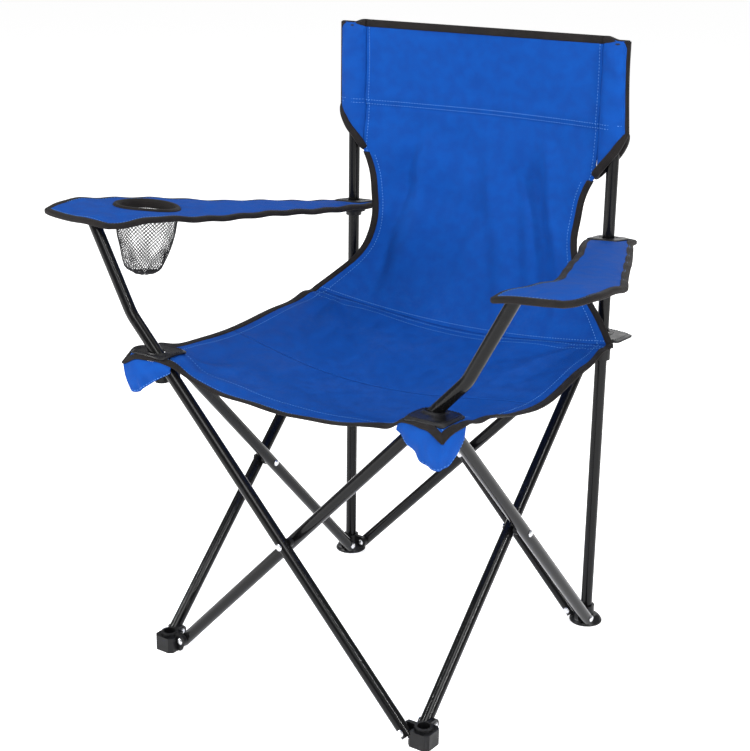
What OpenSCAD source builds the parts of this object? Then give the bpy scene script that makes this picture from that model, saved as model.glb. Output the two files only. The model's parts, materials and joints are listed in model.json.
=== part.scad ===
// Folding camp chair: a square scissor frame with a cloth seat, back and armrests.
// Right and left are the sitter's. X points to the left, Y to the rear, Z up. Millimetres.

/* [Frame] */
// distance between neighbouring corner axes, open
corner_pitch = 416; // [340:1:520]
// height of the foot pivots above the floor
foot_pin_z = 16; // [14:0.5:30]
// height of the seat pivots above the floor
seat_pin_z = 405; // [330:1:470]
// height of the top of the rear uprights
upright_top_z = 805; // [640:1:960]
// outside diameter of every steel tube
tube_d = 16; // [12:0.5:20]
// wall of every steel tube
tube_wall = 1.2; // [0.8:0.1:2]
// tube left past a pivot
tube_stub = 7.5; // [6:0.5:14]

/* [Hubs] */
// distance from a corner axis to its pivots
pin_inset = 21; // [19:0.5:30]
// thickness of a hub lug
lug_t = 6; // [4:0.5:8]
// side clearance between a lug and a tube
lug_gap = 0.3; // [0.2:0.05:0.6]
// radius of a lug end
lug_r = 8.5; // [7:0.5:11]
// wall of a foot socket
socket_wall = 3.2; // [2:0.1:4]
// height of the top of a foot socket
socket_top_z = 25; // [22:0.5:40]
// diameter of a rear foot pad
foot_d = 46; // [40:1:56]
// height of the dome on a rear foot pad
foot_h = 12; // [8:0.5:16]
// width of a front foot block
block_w = 31; // [26:1:36]
// height of a slider
slider_h = 30; // [24:1:44]
// wall of a slider
slider_wall = 3.6; // [2:0.1:5]
// running clearance of a slider on its upright
slide_gap = 0.4; // [0.2:0.05:0.8]
// fit clearance of an upright in its foot
fit_gap = 0.15; // [0.05:0.05:0.3]
// diameter of a front seat hub core
hub_core_d = 18; // [14:0.5:20]

/* [Rivets] */
// shank diameter of a rivet
rivet_d = 5; // [4:0.5:6]
// head diameter of a rivet
rivet_head_d = 9; // [7:0.5:11]
// height of a domed rivet head
rivet_head_h = 2.2; // [1.5:0.1:3]
// radial clearance of a rivet in a moving hole
rivet_gap = 0.2; // [0.1:0.05:0.4]

/* [Arm posts] */
// straight tube between a seat pivot and its bend
post_rise = 78; // [50:1:110]
// bend of the tube toward upright
post_bend = 15; // [8:1:24]
// centre line radius of the bend
bend_r = 60; // [40:1:90]
// straight tube above the bend
post_len = 118; // [80:1:160]
// height of the dome on a post plug
plug_h = 4; // [3:0.5:7]

/* [Armrests] */
// thickness of an armrest
arm_t = 8; // [5:0.5:14]
// height of an armrest underside at the upright
arm_rear_z = 546; // [490:1:630]
// half width of an armrest at its rear end
arm_rear_half = 31; // [24:1:40]
// reach of an armrest behind its upright
arm_overhang = 36; // [24:1:50]
// width of an armrest near its front
arm_front_w = 150; // [126:1:170]
// height of a bush in an armrest
bush_h = 14; // [10:0.5:24]
// height of the clip ring under a bush
clip_h = 6; // [3:0.5:12]
// wall of a bush
bush_wall = 3; // [2:0.5:5]
// radius of a flange under a bush
flange_r = 17; // [14:0.5:22]
// inside diameter of the cup ring
cup_d = 78; // [66:1:96]
// width of the cup ring binding
cup_rim = 5; // [3:0.5:8]
// depth of the cup net
cup_depth = 88; // [60:1:130]
// diameter of the floor of the cup net
cup_floor_d = 44; // [30:1:60]
// thickness of the cup net
net_t = 1.2; // [0.8:0.1:2]

/* [Cloth] */
// thickness of the doubled seat and back cloth
cloth_t = 4; // [2:0.5:6]
// height of the top edge of the back
back_top_z = 815; // [650:1:970]
// height of the lower end of the back sleeves
sleeve_low_z = 667; // [560:1:780]
// width of a back sleeve
sleeve_w = 40; // [34:1:50]
// depth of a back sleeve
sleeve_depth = 22; // [20:0.5:30]
// half width of the back at the waist
waist_half = 168; // [120:1:190]
// height of the waist of the back
waist_z = 517; // [490:1:590]
// how far the back bellies to the rear
back_belly = 26; // [5:1:50]
// how far the seat cloth reaches outside the corner axes
wing = 44; // [20:1:60]
// distance from the rear corner axes forward to the seat seam
seam_inset = 46; // [36:1:70]
// extra hang of the middle of the seat
seat_sag = 14; // [6:1:40]
// how far the front hem hangs in its middle
hem_sag = 34; // [8:1:46]
// how far the seam hangs in its middle
seam_sag = 20; // [6:1:40]
// half length of a corner patch, side to side
patch_half = 29; // [26:1:40]
// half width of a corner patch, front to rear
patch_side = 26; // [24:1:34]
// thickness of a corner patch
patch_t = 2.4; // [1.5:0.1:4]
// drop of a front corner pocket
pocket_drop = 46; // [36:1:70]
// width of a front corner pocket
pocket_w = 96; // [60:1:110]

/* [Output] */
// sub-part to build: "all" or one name

/* [Hidden] */
$fn = 64;
c = corner_pitch / 2;
r = tube_d / 2;
s = c - pin_inset;
off = r + lug_t / 2 + lug_gap;
rise = seat_pin_z - foot_pin_z;
lean = atan2(2 * s, rise);
link = sqrt(4 * s * s + rise * rise);
socket_r = r + fit_gap + socket_wall;
foot_floor = 4;
// armrest plane: from the bush down the length to the post plugs
pin_to_bend = post_rise + bend_r * tan(post_bend / 2);
bend_x = s + pin_to_bend * sin(lean);
bend_z = seat_pin_z + pin_to_bend * cos(lean);
above = post_len + bend_r * tan(post_bend / 2);
post_x = bend_x + above * sin(lean - post_bend);
post_z = bend_z + above * cos(lean - post_bend);
arm_front_y = -(c + arm_overhang);
arm_front_z = post_z + r * sin(lean - post_bend) + plug_h + 1;
arm_tilt = atan2(arm_front_z - arm_rear_z, 2 * c);
bore_clear = 0.6;
tip_in = 34;
cup_x = post_x + 8;
cup_y = -c + 92;
black = [0.08, 0.08, 0.09];
steel = [0.75, 0.76, 0.78];
blue = [0.10, 0.32, 0.70];
vinyl = [0.12, 0.12, 0.14];

// ---------- shared shapes ----------

// a rivet along +Z from z0 to z1 with a domed head at each end
module rivet(z0, z1) {
    color(steel) {
        translate([0, 0, z0]) cylinder(h = z1 - z0, d = rivet_d);
        translate([0, 0, z1]) dome();
        translate([0, 0, z0]) mirror([0, 0, 1]) dome();
    }
}

module dome() {
    rotate_extrude()
        polygon([
            [0, 0], [rivet_head_d / 2, 0], [rivet_head_d / 2, rivet_head_h * 0.35],
            [rivet_head_d * 0.36, rivet_head_h * 0.8], [rivet_head_d * 0.18, rivet_head_h],
            [0, rivet_head_h]
        ]);
}

// one lug plate in the plane y = 0 from the corner axis to its pin on the -X side
module lug(z, low) {
    translate([-pin_inset, 0, z]) rotate([90, 0, 0])
        cylinder(h = lug_t, r = lug_r, center = true);
    translate([-pin_inset, -lug_t / 2, z - low])
        cube([pin_inset - r - fit_gap - 1, lug_t, low + lug_r]);
}

module lug_bore(z) {
    translate([-pin_inset, 0, z]) rotate([90, 0, 0])
        cylinder(h = lug_t + 4, d = rivet_d + 0.02, center = true);
}

// a foot made for the front left corner: a rear one has a domed pad, a front one a block
module foot_shape(front) {
    color(vinyl)
    difference() {
        union() {
            difference() {
                if (front) foot_block();
                else foot_dome();
                tube_sweep();
                rotate([0, 0, -90]) tube_sweep();
            }
            cylinder(h = socket_top_z, r = socket_r);
            lug(foot_pin_z, foot_pin_z - 2);
            rotate([0, 0, -90]) lug(foot_pin_z, foot_pin_z - 2);
        }
        translate([0, 0, foot_floor]) cylinder(h = socket_top_z, r = r + fit_gap);
        lug_bore(foot_pin_z);
        rotate([0, 0, -90]) lug_bore(foot_pin_z);
    }
}

module foot_dome() {
    rotate_extrude()
        polygon([
            [0, 0], [foot_d / 2 - 1, 0], [foot_d / 2, 1], [foot_d / 2, 3],
            [foot_d / 2 - 3, foot_h * 0.62], [foot_d / 2 - 8, foot_h * 0.92],
            [socket_r - 1, foot_h], [0, foot_h]
        ]);
}

module foot_block() {
    w = block_w / 2;
    e = w - 5;
    linear_extrude(foot_pin_z + 5)
        polygon([[w, e], [e, w], [-e, w], [-w, e], [-w, -e], [-e, -w], [e, -w], [w, -e]]);
}

// space that a tube end and its rivet heads turn through on the outer face of a lug
module tube_sweep() {
    reach = sqrt(tube_stub * tube_stub + r * r) + 0.6;
    translate([-pin_inset, 0, foot_pin_z]) rotate([90, 0, 0]) {
        translate([0, 0, lug_t / 2]) cylinder(h = 2 * r + lug_gap + 6, r = reach);
        translate([0, 0, -lug_t / 2 - 4]) cylinder(h = 4.5, r = rivet_head_d / 2 + 1.2);
    }
}

// place a shape made at the front left corner onto corner k
module at_corner(k) {
    rotate([0, 0, 90 * k]) translate([c, -c, 0]) children();
}

// rivet through a lug and a tube on the outer (+1) or inner (-1) side, front face
module lug_rivet(z, side) {
    far = lug_t / 2 + lug_gap + tube_d + 0.1;
    near = lug_t / 2;
    translate([-pin_inset, 0, z]) rotate([side > 0 ? 90 : -90, 0, 0]) rivet(-near, far);
}

module foot_rivets(k) {
    at_corner(k) {
        lug_rivet(foot_pin_z, 1);
        rotate([0, 0, -90]) lug_rivet(foot_pin_z, 1);
    }
}

module top_rivets(k) {
    at_corner(k) {
        lug_rivet(seat_pin_z, -1);
        rotate([0, 0, -90]) lug_rivet(seat_pin_z, -1);
    }
}

module slider_shape() {
    color(vinyl)
    difference() {
        union() {
            translate([0, 0, seat_pin_z - slider_h / 2])
                cylinder(h = slider_h, r = r + slide_gap + slider_wall);
            lug(seat_pin_z, lug_r);
            rotate([0, 0, -90]) lug(seat_pin_z, lug_r);
        }
        translate([0, 0, seat_pin_z - slider_h])
            cylinder(h = 2 * slider_h, r = r + slide_gap);
        lug_bore(seat_pin_z);
        rotate([0, 0, -90]) lug_bore(seat_pin_z);
    }
}

module front_hub_shape() {
    top = 6;
    low = 24;
    color(vinyl)
    difference() {
        union() {
            translate([0, 0, seat_pin_z - low]) cylinder(h = low - top, d = hub_core_d);
            hub_lug(low);
            rotate([0, 0, -90]) hub_lug(low);
        }
        lug_bore(seat_pin_z);
        rotate([0, 0, -90]) lug_bore(seat_pin_z);
    }
}

module hub_lug(low) {
    translate([-pin_inset, 0, seat_pin_z]) rotate([90, 0, 0])
        cylinder(h = lug_t, r = lug_r, center = true);
    translate([-pin_inset, -lug_t / 2, seat_pin_z - low + 2])
        cube([pin_inset, lug_t, low - 8]);
    translate([-pin_inset - lug_r, -lug_t / 2, seat_pin_z - 12])
        cube([2 * lug_r, lug_t, 12]);
}

// a straight crossing tube of a face: side +1 outside, -1 inside
module link_tube(side) {
    color(black)
    difference() {
        place_link(side) translate([0, 0, -tube_stub])
            cylinder(h = link + 2 * tube_stub, r = r);
        place_link(side) translate([0, 0, -tube_stub - 1])
            cylinder(h = link + 2 * tube_stub + 2, r = r - tube_wall);
        link_bores(side);
    }
}

// +Z of the children runs from the foot pin to the seat pin of the tube
module place_link(side) {
    translate([side * s, -c - side * off, foot_pin_z]) rotate([0, -side * lean, 0]) children();
}

module link_bores(side) {
    for (t = [0, link / 2, link])
        place_link(side) translate([0, 0, t]) rotate([90, 0, 0])
            cylinder(h = tube_d + 4, d = rivet_d + 2 * rivet_gap, center = true);
}

// a front tube that goes on past the seat pin, bends and stands as an arm post
module post_tube(side) {
    color(black)
    if (side > 0)
        translate([0, -2 * off, 0]) mirror([1, 0, 0]) post_tube_inner();
    else
        post_tube_inner();
}

module post_tube_inner() {
    place_link(-1) {
        difference() {
            translate([0, 0, -tube_stub]) cylinder(h = tube_stub + link + post_rise, r = r);
            translate([0, 0, -tube_stub - 1])
                cylinder(h = tube_stub + link + post_rise + 2, r = r - tube_wall);
            for (q = [0, link / 2, link])
                translate([0, 0, q]) rotate([90, 0, 0])
                    cylinder(h = tube_d + 4, d = rivet_d + 2 * rivet_gap, center = true);
        }
        translate([-bend_r, 0, link + post_rise]) rotate([90, 0, 0])
            rotate_extrude(angle = post_bend) translate([bend_r, 0]) difference() {
                circle(r = r);
                circle(r = r - tube_wall);
            }
        translate([0, 0, link + post_rise]) past_bend(-1) difference() {
            cylinder(h = post_len, r = r);
            translate([0, 0, -1]) cylinder(h = post_len + 2, r = r - tube_wall);
        }
    }
}

module past_bend(side) {
    translate([side * bend_r * (1 - cos(post_bend)), 0, bend_r * sin(post_bend)])
        rotate([0, side * post_bend, 0]) children();
}

module post_plug(side) {
    color(vinyl)
    place_link(side) translate([0, 0, link + post_rise]) past_bend(side) {
        translate([0, 0, post_len - 12]) cylinder(h = 12, r = r - tube_wall - 0.05);
        translate([0, 0, post_len]) cylinder(h = 1.5, r = r);
        translate([0, 0, post_len + 1.5]) cylinder(h = plug_h - 1.5, r1 = r, r2 = r * 0.55);
    }
}

module cross_rivet() {
    mid = (foot_pin_z + seat_pin_z) / 2;
    reach = off + r + 0.1;
    translate([0, -c, mid]) rotate([90, 0, 0]) rivet(-reach, reach);
}

module cross_washer() {
    mid = (foot_pin_z + seat_pin_z) / 2;
    color(vinyl)
    translate([0, -c, mid]) rotate([90, 0, 0]) difference() {
        cylinder(h = 2 * (off - r - 0.15), d = rivet_head_d + 3, center = true);
        cylinder(h = 2 * off, d = rivet_d + 0.02, center = true);
    }
}

module upright(k) {
    color(black)
    at_corner(k) difference() {
        translate([0, 0, foot_floor]) cylinder(h = upright_top_z - foot_floor, r = r);
        translate([0, 0, foot_floor - 1]) cylinder(h = upright_top_z, r = r - tube_wall);
    }
}

// clip ring round an upright, under the armrest bush that it slides with
module arm_stop(k) {
    top = arm_rear_z - 5.5;
    color(vinyl)
    at_corner(k) translate([0, 0, top - clip_h]) difference() {
        cylinder(h = clip_h, r = r + slide_gap + bush_wall);
        translate([0, 0, -1]) cylinder(h = clip_h + 2, r = r + slide_gap);
    }
}

module upright_cap(k) {
    color(vinyl)
    at_corner(k) {
        translate([0, 0, upright_top_z - 14]) cylinder(h = 14, r = r - tube_wall - 0.05);
        translate([0, 0, upright_top_z]) cylinder(h = 2.5, r = r);
        translate([0, 0, upright_top_z + 2.5]) cylinder(h = 2, r1 = r, r2 = r - 3);
    }
}

// closed sheet of a given thickness over a grid of points; thickness along normal n
module sheet(pts, n, t) {
    rows = len(pts);
    cols = len(pts[0]);
    top = [for (i = [0:rows - 1]) for (j = [0:cols - 1]) pts[i][j] + n * t / 2];
    bot = [for (i = [0:rows - 1]) for (j = [0:cols - 1]) pts[i][j] - n * t / 2];
    k = rows * cols;
    quads = [
        for (i = [0:rows - 2]) for (j = [0:cols - 2])
            each [
                [i * cols + j, i * cols + j + 1, (i + 1) * cols + j],
                [i * cols + j + 1, (i + 1) * cols + j + 1, (i + 1) * cols + j]
            ]
    ];
    under = [for (q = quads) [q[2] + k, q[1] + k, q[0] + k]];
    rim = concat(
        [for (j = [0:cols - 2]) each side(j + 1, j, k)],
        [for (j = [0:cols - 2]) each side((rows - 1) * cols + j, (rows - 1) * cols + j + 1, k)],
        [for (i = [0:rows - 2]) each side(i * cols, (i + 1) * cols, k)],
        [for (i = [0:rows - 2]) each side((i + 1) * cols + cols - 1, i * cols + cols - 1, k)]
    );
    polyhedron(points = concat(top, bot), faces = concat(quads, under, rim), convexity = 6);
}

function side(a, b, k) = [[a, b, a + k], [b, b + k, a + k]];

// ---------- cloth ----------

seat_z = seat_pin_z + slider_h / 2 + 1;
hem_y = -(c + 8);
seat_back_y = c - seam_inset;

function seat_at(u, v) = [
    u * (c + wing - 6 * v),
    hem_y + (seat_back_y - hem_y) * v,
    seat_z - 4 + 10 * v * v - 9 * sin(180 * v)
        - (1 - u * u) * (hem_sag * (1 - v) + seam_sag * v + seat_sag * sin(180 * v))
];

module seat_part(v0, v1) {
    n = 8;
    color(blue)
    difference() {
        sheet([for (i = [0:n]) [for (j = [0:12])
            seat_at(-1 + 2 * j / 12, v0 + (v1 - v0) * i / n)]], [0, 0, -1], cloth_t);
        for (k = [0:3])
            at_corner(k) translate([0, 0, seat_z - 60]) cylinder(h = 120, r = 48);
    }
}

back_low_z = seat_z + 12;

// half width of the back at a height
function back_half(z) =
    z > sleeve_low_z ? c - sleeve_w / 2 - 0.4 :
    z > waist_z ? waist_half + (c - sleeve_w / 2 - 0.4 - waist_half)
        * pow((z - waist_z) / (sleeve_low_z - waist_z), 2) :
    waist_half + (c + wing - 6 - waist_half)
        * pow((waist_z - z) / (waist_z - back_low_z), 2);

function back_at(u, z) = [
    u * back_half(z),
    c - 2 + (1 - u * u) * back_belly * sin(180 * (back_top_z - z) / (back_top_z - back_low_z))
        - (seam_inset - 3) * pow(max(0, (waist_z - z) / (waist_z - back_low_z)), 2),
    z
];

module back_cloth() {
    n = 16;
    color(blue)
    sheet([for (i = [0:n]) [for (j = [0:12])
        back_at(-1 + 2 * j / 12, back_low_z + (back_top_z - back_low_z) * i / n)]],
        [0, -1, 0], cloth_t);
}

module sleeve(sx) {
    color(blue)
    translate([sx * c, c, 0]) difference() {
        translate([0, 0, sleeve_low_z]) sleeve_core(back_top_z - sleeve_low_z);
        translate([0, 0, sleeve_low_z - 1])
            cylinder(h = upright_top_z + 5 - sleeve_low_z + 1, r = r + 0.4);
    }
}

module sleeve_core(h) {
    flat = sleeve_w / 2 - sleeve_depth / 2;
    translate([flat, 0, 0]) cylinder(h = h, d = sleeve_depth);
    translate([-flat, 0, 0]) cylinder(h = h, d = sleeve_depth);
    translate([-flat, -sleeve_depth / 2, 0]) cube([2 * flat, sleeve_depth, h]);
}

module patch_outline() {
    k = 5;
    polygon([
        [-patch_half, k - patch_side], [k - patch_half, -patch_side],
        [patch_half - k, -patch_side], [patch_half, k - patch_side],
        [patch_half, patch_side - k], [patch_half - k, patch_side],
        [k - patch_half, patch_side], [-patch_half, patch_side - k]
    ]);
}

patch_z = seat_z + 1;

module patch_front(side) {
    color(vinyl)
    difference() {
        translate([-side * (c + 4), -c, patch_z]) linear_extrude(patch_t) patch_outline();
        place_link(side) cylinder(h = link + post_rise, r = r + 0.8);
    }
}

module patch_rear(sx) {
    color(vinyl)
    difference() {
        translate([sx * (c + 6), c, patch_z]) linear_extrude(patch_t) patch_outline();
        translate([sx * c, c, patch_z - 1]) cylinder(h = patch_t + 2, r = r + 0.8);
    }
}

// hanging cloth round a front hub: a front flap and a side flap outside the tubes
module pocket(sx) {
    front_y = -(c + off + r + 4);
    side_x = c + wing + 8;
    top = patch_z - 12;
    w = pocket_w;
    d = pocket_drop;
    color(blue) {
        translate([sx * side_x, front_y, top]) rotate([90, 0, 0])
            linear_extrude(2.4, center = true) polygon([
                [1.2 * sx, 0], [-sx * w, 0], [-sx * w * 0.8, -d * 0.4],
                [-sx * w * 0.5, -d], [-sx * w * 0.2, -d * 0.82], [1.2 * sx, -d * 0.6]
            ]);
        translate([sx * side_x, front_y - 1.2, top]) rotate([90, 0, 90])
            linear_extrude(2.4, center = true) polygon([
                [0, 0], [w * 0.5, 0], [w * 0.34, -d * 0.35], [0, -d * 0.6]
            ]);
    }
}

// ---------- armrests ----------

// outline of the left armrest in plan
function arm_outline() = [
    [c - arm_rear_half, c + arm_overhang],
    [c - arm_rear_half - 2, c - 40],
    [c + 12, -40],
    [post_x - tip_in - 18, arm_front_y + 50],
    [post_x - tip_in - 12, arm_front_y + 14],
    [post_x - tip_in + 6, arm_front_y + 2],
    [post_x + 20, arm_front_y],
    [post_x - tip_in + arm_front_w - 40, arm_front_y + 12],
    [post_x - tip_in + arm_front_w - 22, arm_front_y + 34],
    [post_x - tip_in + arm_front_w - 20, arm_front_y + 70],
    [post_x - tip_in + arm_front_w - 28, arm_front_y + 130],
    [post_x - tip_in + arm_front_w - 50, arm_front_y + 200],
    [c + arm_rear_half + 16, c - 60],
    [c + arm_rear_half + 2, c + arm_overhang - 8],
    [c + arm_rear_half - 6, c + arm_overhang]
];

// outline of the slim armrest without a cup, on the left
function slim_outline() = [
    [c - arm_rear_half + 3, c + arm_overhang],
    [c - arm_rear_half + 2, c + 4],
    [c - 10, c - 46],
    [c + 24, c - 130],
    [c + 60, c - 220],
    [c + 90, c - 296],
    [c + 109, 62 - c],
    [c + 104, 24 - c],
    [post_x - 10, arm_front_y + 24],
    [post_x - 8, arm_front_y + 10],
    [post_x + 10, arm_front_y + 4],
    [post_x + 58, arm_front_y + 10],
    [post_x + 80, arm_front_y + 30],
    [post_x + 84, arm_front_y + 56],
    [post_x + 76, arm_front_y + 110],
    [post_x + 50, arm_front_y + 180],
    [c + 92, c - 124],
    [c + arm_rear_half + 20, c - 46],
    [c + arm_rear_half + 4, c + 4],
    [c + arm_rear_half - 3, c + arm_overhang]
];

module tilt_plane() {
    translate([0, c, arm_rear_z]) rotate([-arm_tilt, 0, 0]) translate([0, -c, 0]) children();
}

module armrest(sx) {
    color(blue)
    difference() {
        tilt_plane() linear_extrude(arm_t)
            polygon([for (p = sx > 0 ? slim_outline() : arm_outline()) [sx * p[0], p[1]]]);
        translate([sx * c, c, arm_rear_z - 20])
            cylinder(h = 60, r = r + slide_gap + bush_wall + bore_clear);
        if (sx < 0)
            tilt_plane() translate([-cup_x, cup_y, -1])
                cylinder(h = arm_t + 2, r = cup_d / 2 + cup_rim);
    }
}

module arm_bush(sx) {
    color(vinyl)
    translate([sx * c, c, 0]) difference() {
        union() {
            translate([0, 0, arm_rear_z - 4])
                cylinder(h = bush_h, r = r + slide_gap + bush_wall);
            translate([0, 0, arm_rear_z - 5.5]) cylinder(h = 2.5, r = flange_r);
        }
        translate([0, 0, arm_rear_z - 20]) cylinder(h = 60, r = r + slide_gap);
    }
}

module cup_ring() {
    color(vinyl)
    tilt_plane() translate([-cup_x, cup_y, 0]) difference() {
        translate([0, 0, -1]) cylinder(h = arm_t + 2.5, r = cup_d / 2 + cup_rim);
        translate([0, 0, -2]) cylinder(h = arm_t + 6, d = cup_d);
    }
}

module cup_net() {
    top = cup_d / 2 - 0.01;
    low = cup_floor_d / 2;
    color(vinyl)
    tilt_plane() translate([-cup_x, cup_y, 0]) rotate_extrude()
        polygon([
            [0, -cup_depth], [low * 0.8, -cup_depth], [low, -cup_depth + 5],
            [top, -1], [top, 5], [top - net_t, 5], [top - net_t, -1],
            [low - net_t, -cup_depth + 5 + net_t], [low * 0.8 - net_t, -cup_depth + net_t],
            [0, -cup_depth + net_t]
        ]);
}

// ---------- placed sub-parts ----------

module rear_right_foot() { at_corner(2) foot_shape(false); }
module rear_left_foot() { at_corner(1) foot_shape(false); }
module front_left_foot() { at_corner(0) foot_shape(true); }
module front_right_foot() { at_corner(3) foot_shape(true); }
module right_slider() { at_corner(2) slider_shape(); }
module left_slider() { at_corner(1) slider_shape(); }
module front_left_hub() { at_corner(0) front_hub_shape(); }
module front_right_hub() { at_corner(3) front_hub_shape(); }
module face(k) { rotate([0, 0, 90 * k]) children(); }

rear_right_foot();
upright(2);  // rear_right_upright
upright_cap(2);  // rear_right_cap
right_slider();
top_rivets(2);  // right_slider_rivets
foot_rivets(2);  // rear_right_foot_rivets
arm_stop(2);  // right_arm_stop
rear_left_foot();
upright(1);  // rear_left_upright
upright_cap(1);  // rear_left_cap
left_slider();
top_rivets(1);  // left_slider_rivets
foot_rivets(1);  // rear_left_foot_rivets
arm_stop(1);  // left_arm_stop
front_right_foot();
foot_rivets(3);  // front_right_foot_rivets
front_right_hub();
top_rivets(3);  // front_right_hub_rivets
front_left_foot();
foot_rivets(0);  // front_left_foot_rivets
front_left_hub();
top_rivets(0);  // front_left_hub_rivets
post_tube(1);  // front_tube_outer
post_tube(-1);  // front_tube_inner
face(1) link_tube(1);  // left_tube_outer
face(1) link_tube(-1);  // left_tube_inner
face(2) link_tube(1);  // rear_tube_outer
face(2) link_tube(-1);  // rear_tube_inner
face(3) link_tube(1);  // right_tube_outer
face(3) link_tube(-1);  // right_tube_inner
cross_rivet();  // front_cross_rivet
face(1) cross_rivet();  // left_cross_rivet
face(2) cross_rivet();  // rear_cross_rivet
face(3) cross_rivet();  // right_cross_rivet
cross_washer();  // front_cross_washer
face(1) cross_washer();  // left_cross_washer
face(2) cross_washer();  // rear_cross_washer
face(3) cross_washer();  // right_cross_washer
post_plug(1);  // right_post_plug
post_plug(-1);  // left_post_plug
back_cloth();
sleeve(-1);  // back_sleeve_right
sleeve(1);  // back_sleeve_left
seat_part(0, 0.4985);  // seat_cloth_front
seat_part(0.5, 1);  // seat_cloth_rear
patch_front(1);  // patch_front_right
patch_front(-1);  // patch_front_left
patch_rear(-1);  // patch_rear_right
patch_rear(1);  // patch_rear_left
pocket(-1);  // pocket_right
pocket(1);  // pocket_left
armrest(-1);  // armrest_right
armrest(1);  // armrest_left
arm_bush(-1);  // arm_bush_right
arm_bush(1);  // arm_bush_left
cup_ring();
cup_net();
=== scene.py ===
"""Folding camp chair: cloth, trim, netting, finishes, floor, lights and camera over the CAD frame."""
import json
from collections.abc import Callable
import logging
import math
from dataclasses import dataclass
from enum import Enum

import bmesh
import bpy
import numpy as np
from mathutils import Matrix, Vector


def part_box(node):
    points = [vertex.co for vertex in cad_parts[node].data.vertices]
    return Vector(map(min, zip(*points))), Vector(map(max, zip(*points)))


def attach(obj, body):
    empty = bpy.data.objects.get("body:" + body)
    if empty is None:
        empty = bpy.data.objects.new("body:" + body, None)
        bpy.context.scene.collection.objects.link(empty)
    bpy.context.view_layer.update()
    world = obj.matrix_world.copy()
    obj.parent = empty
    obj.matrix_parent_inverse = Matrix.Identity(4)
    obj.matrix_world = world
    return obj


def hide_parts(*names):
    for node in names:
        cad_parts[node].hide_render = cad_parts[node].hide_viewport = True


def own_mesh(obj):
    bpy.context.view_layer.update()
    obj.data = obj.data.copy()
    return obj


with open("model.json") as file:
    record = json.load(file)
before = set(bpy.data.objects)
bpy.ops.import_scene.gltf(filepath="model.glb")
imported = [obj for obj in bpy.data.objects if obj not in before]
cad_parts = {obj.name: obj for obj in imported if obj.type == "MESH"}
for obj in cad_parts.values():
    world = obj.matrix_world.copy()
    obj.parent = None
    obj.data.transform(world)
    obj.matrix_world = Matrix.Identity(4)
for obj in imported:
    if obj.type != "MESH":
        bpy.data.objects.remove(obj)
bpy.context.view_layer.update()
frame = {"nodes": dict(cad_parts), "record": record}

log = logging.getLogger("camp_chair")
Array = np.ndarray


class Side(Enum):
    """The sitter's right is -X and the sitter's left is +X."""

    RIGHT = -1
    LEFT = 1

    @property
    def word(self) -> str:
        """Lower-case name of the side."""
        return self.name.lower()


# ------------------------------------------------------------------ curves and meshes


def ease_curve(knots: Array, values: Array, t: Array) -> Array:
    """Smooth curve through values at knots: cubic Hermite with finite-difference slopes.

    Args:
        knots: increasing parameters, shape (k,).
        values: points at the knots, shape (k, d).
        t: parameters to evaluate, shape (n,).

    Returns:
        Points, shape (n, d).
    """
    knots, values = np.asarray(knots, float), np.asarray(values, float)
    slope = np.gradient(values, knots, axis=0)
    i = np.clip(np.searchsorted(knots, t, side="right") - 1, 0, len(knots) - 2)
    h = (knots[i + 1] - knots[i])[:, None]
    s = ((t - knots[i]) / h[:, 0])[:, None]
    return (
        (2 * s**3 - 3 * s**2 + 1) * values[i]
        + (s**3 - 2 * s**2 + s) * h * slope[i]
        + (-2 * s**3 + 3 * s**2) * values[i + 1]
        + (s**3 - s**2) * h * slope[i + 1]
    )


def path_curve(points: Array, count: int, closed: bool = False) -> Array:
    """Curve through points at evenly spaced arc length.

    Args:
        points: points to pass through, shape (k, 3).
        count: number of points returned.
        closed: join the last point to the first.

    Returns:
        Points, shape (count, 3).
    """
    points = np.asarray(points, float)
    if closed:
        points = np.vstack([points[-3:], points, points[:4]])
    step = np.linalg.norm(np.diff(points, axis=0), axis=1)
    knots = np.concatenate([[0], np.cumsum(step)])
    low, high = (knots[3], knots[-4]) if closed else (knots[0], knots[-1])
    fine = ease_curve(knots, points, np.linspace(low, high, 40 * len(points)))
    return even(fine, count, closed)


def even(line: Array, count: int, closed: bool = False) -> Array:
    """Resample a polyline to even arc length; a closed one leaves out its repeated end."""
    run = np.concatenate([[0], np.cumsum(np.linalg.norm(np.diff(line, axis=0), axis=1))])
    where = np.linspace(0, run[-1], count, endpoint=not closed)
    return np.stack([np.interp(where, run, line[:, k]) for k in range(line.shape[1])], 1)


def unit(v: Array) -> Array:
    """Vectors scaled to length one along the last axis."""
    return v / np.maximum(np.linalg.norm(v, axis=-1, keepdims=True), 1e-12)


def quads(rows: int, cols: int, wrap_rows: bool = False, wrap_cols: bool = False) -> Array:
    """Faces of a grid of rows x cols vertices, as indices of shape (faces, 4)."""
    i = np.arange(rows if wrap_rows else rows - 1)
    j = np.arange(cols if wrap_cols else cols - 1)
    a, b = np.meshgrid(i, j, indexing="ij")
    a2, b2 = (a + 1) % rows, (b + 1) % cols
    return np.stack([a * cols + b, a2 * cols + b, a2 * cols + b2, a * cols + b2], -1).reshape(-1, 4)


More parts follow.
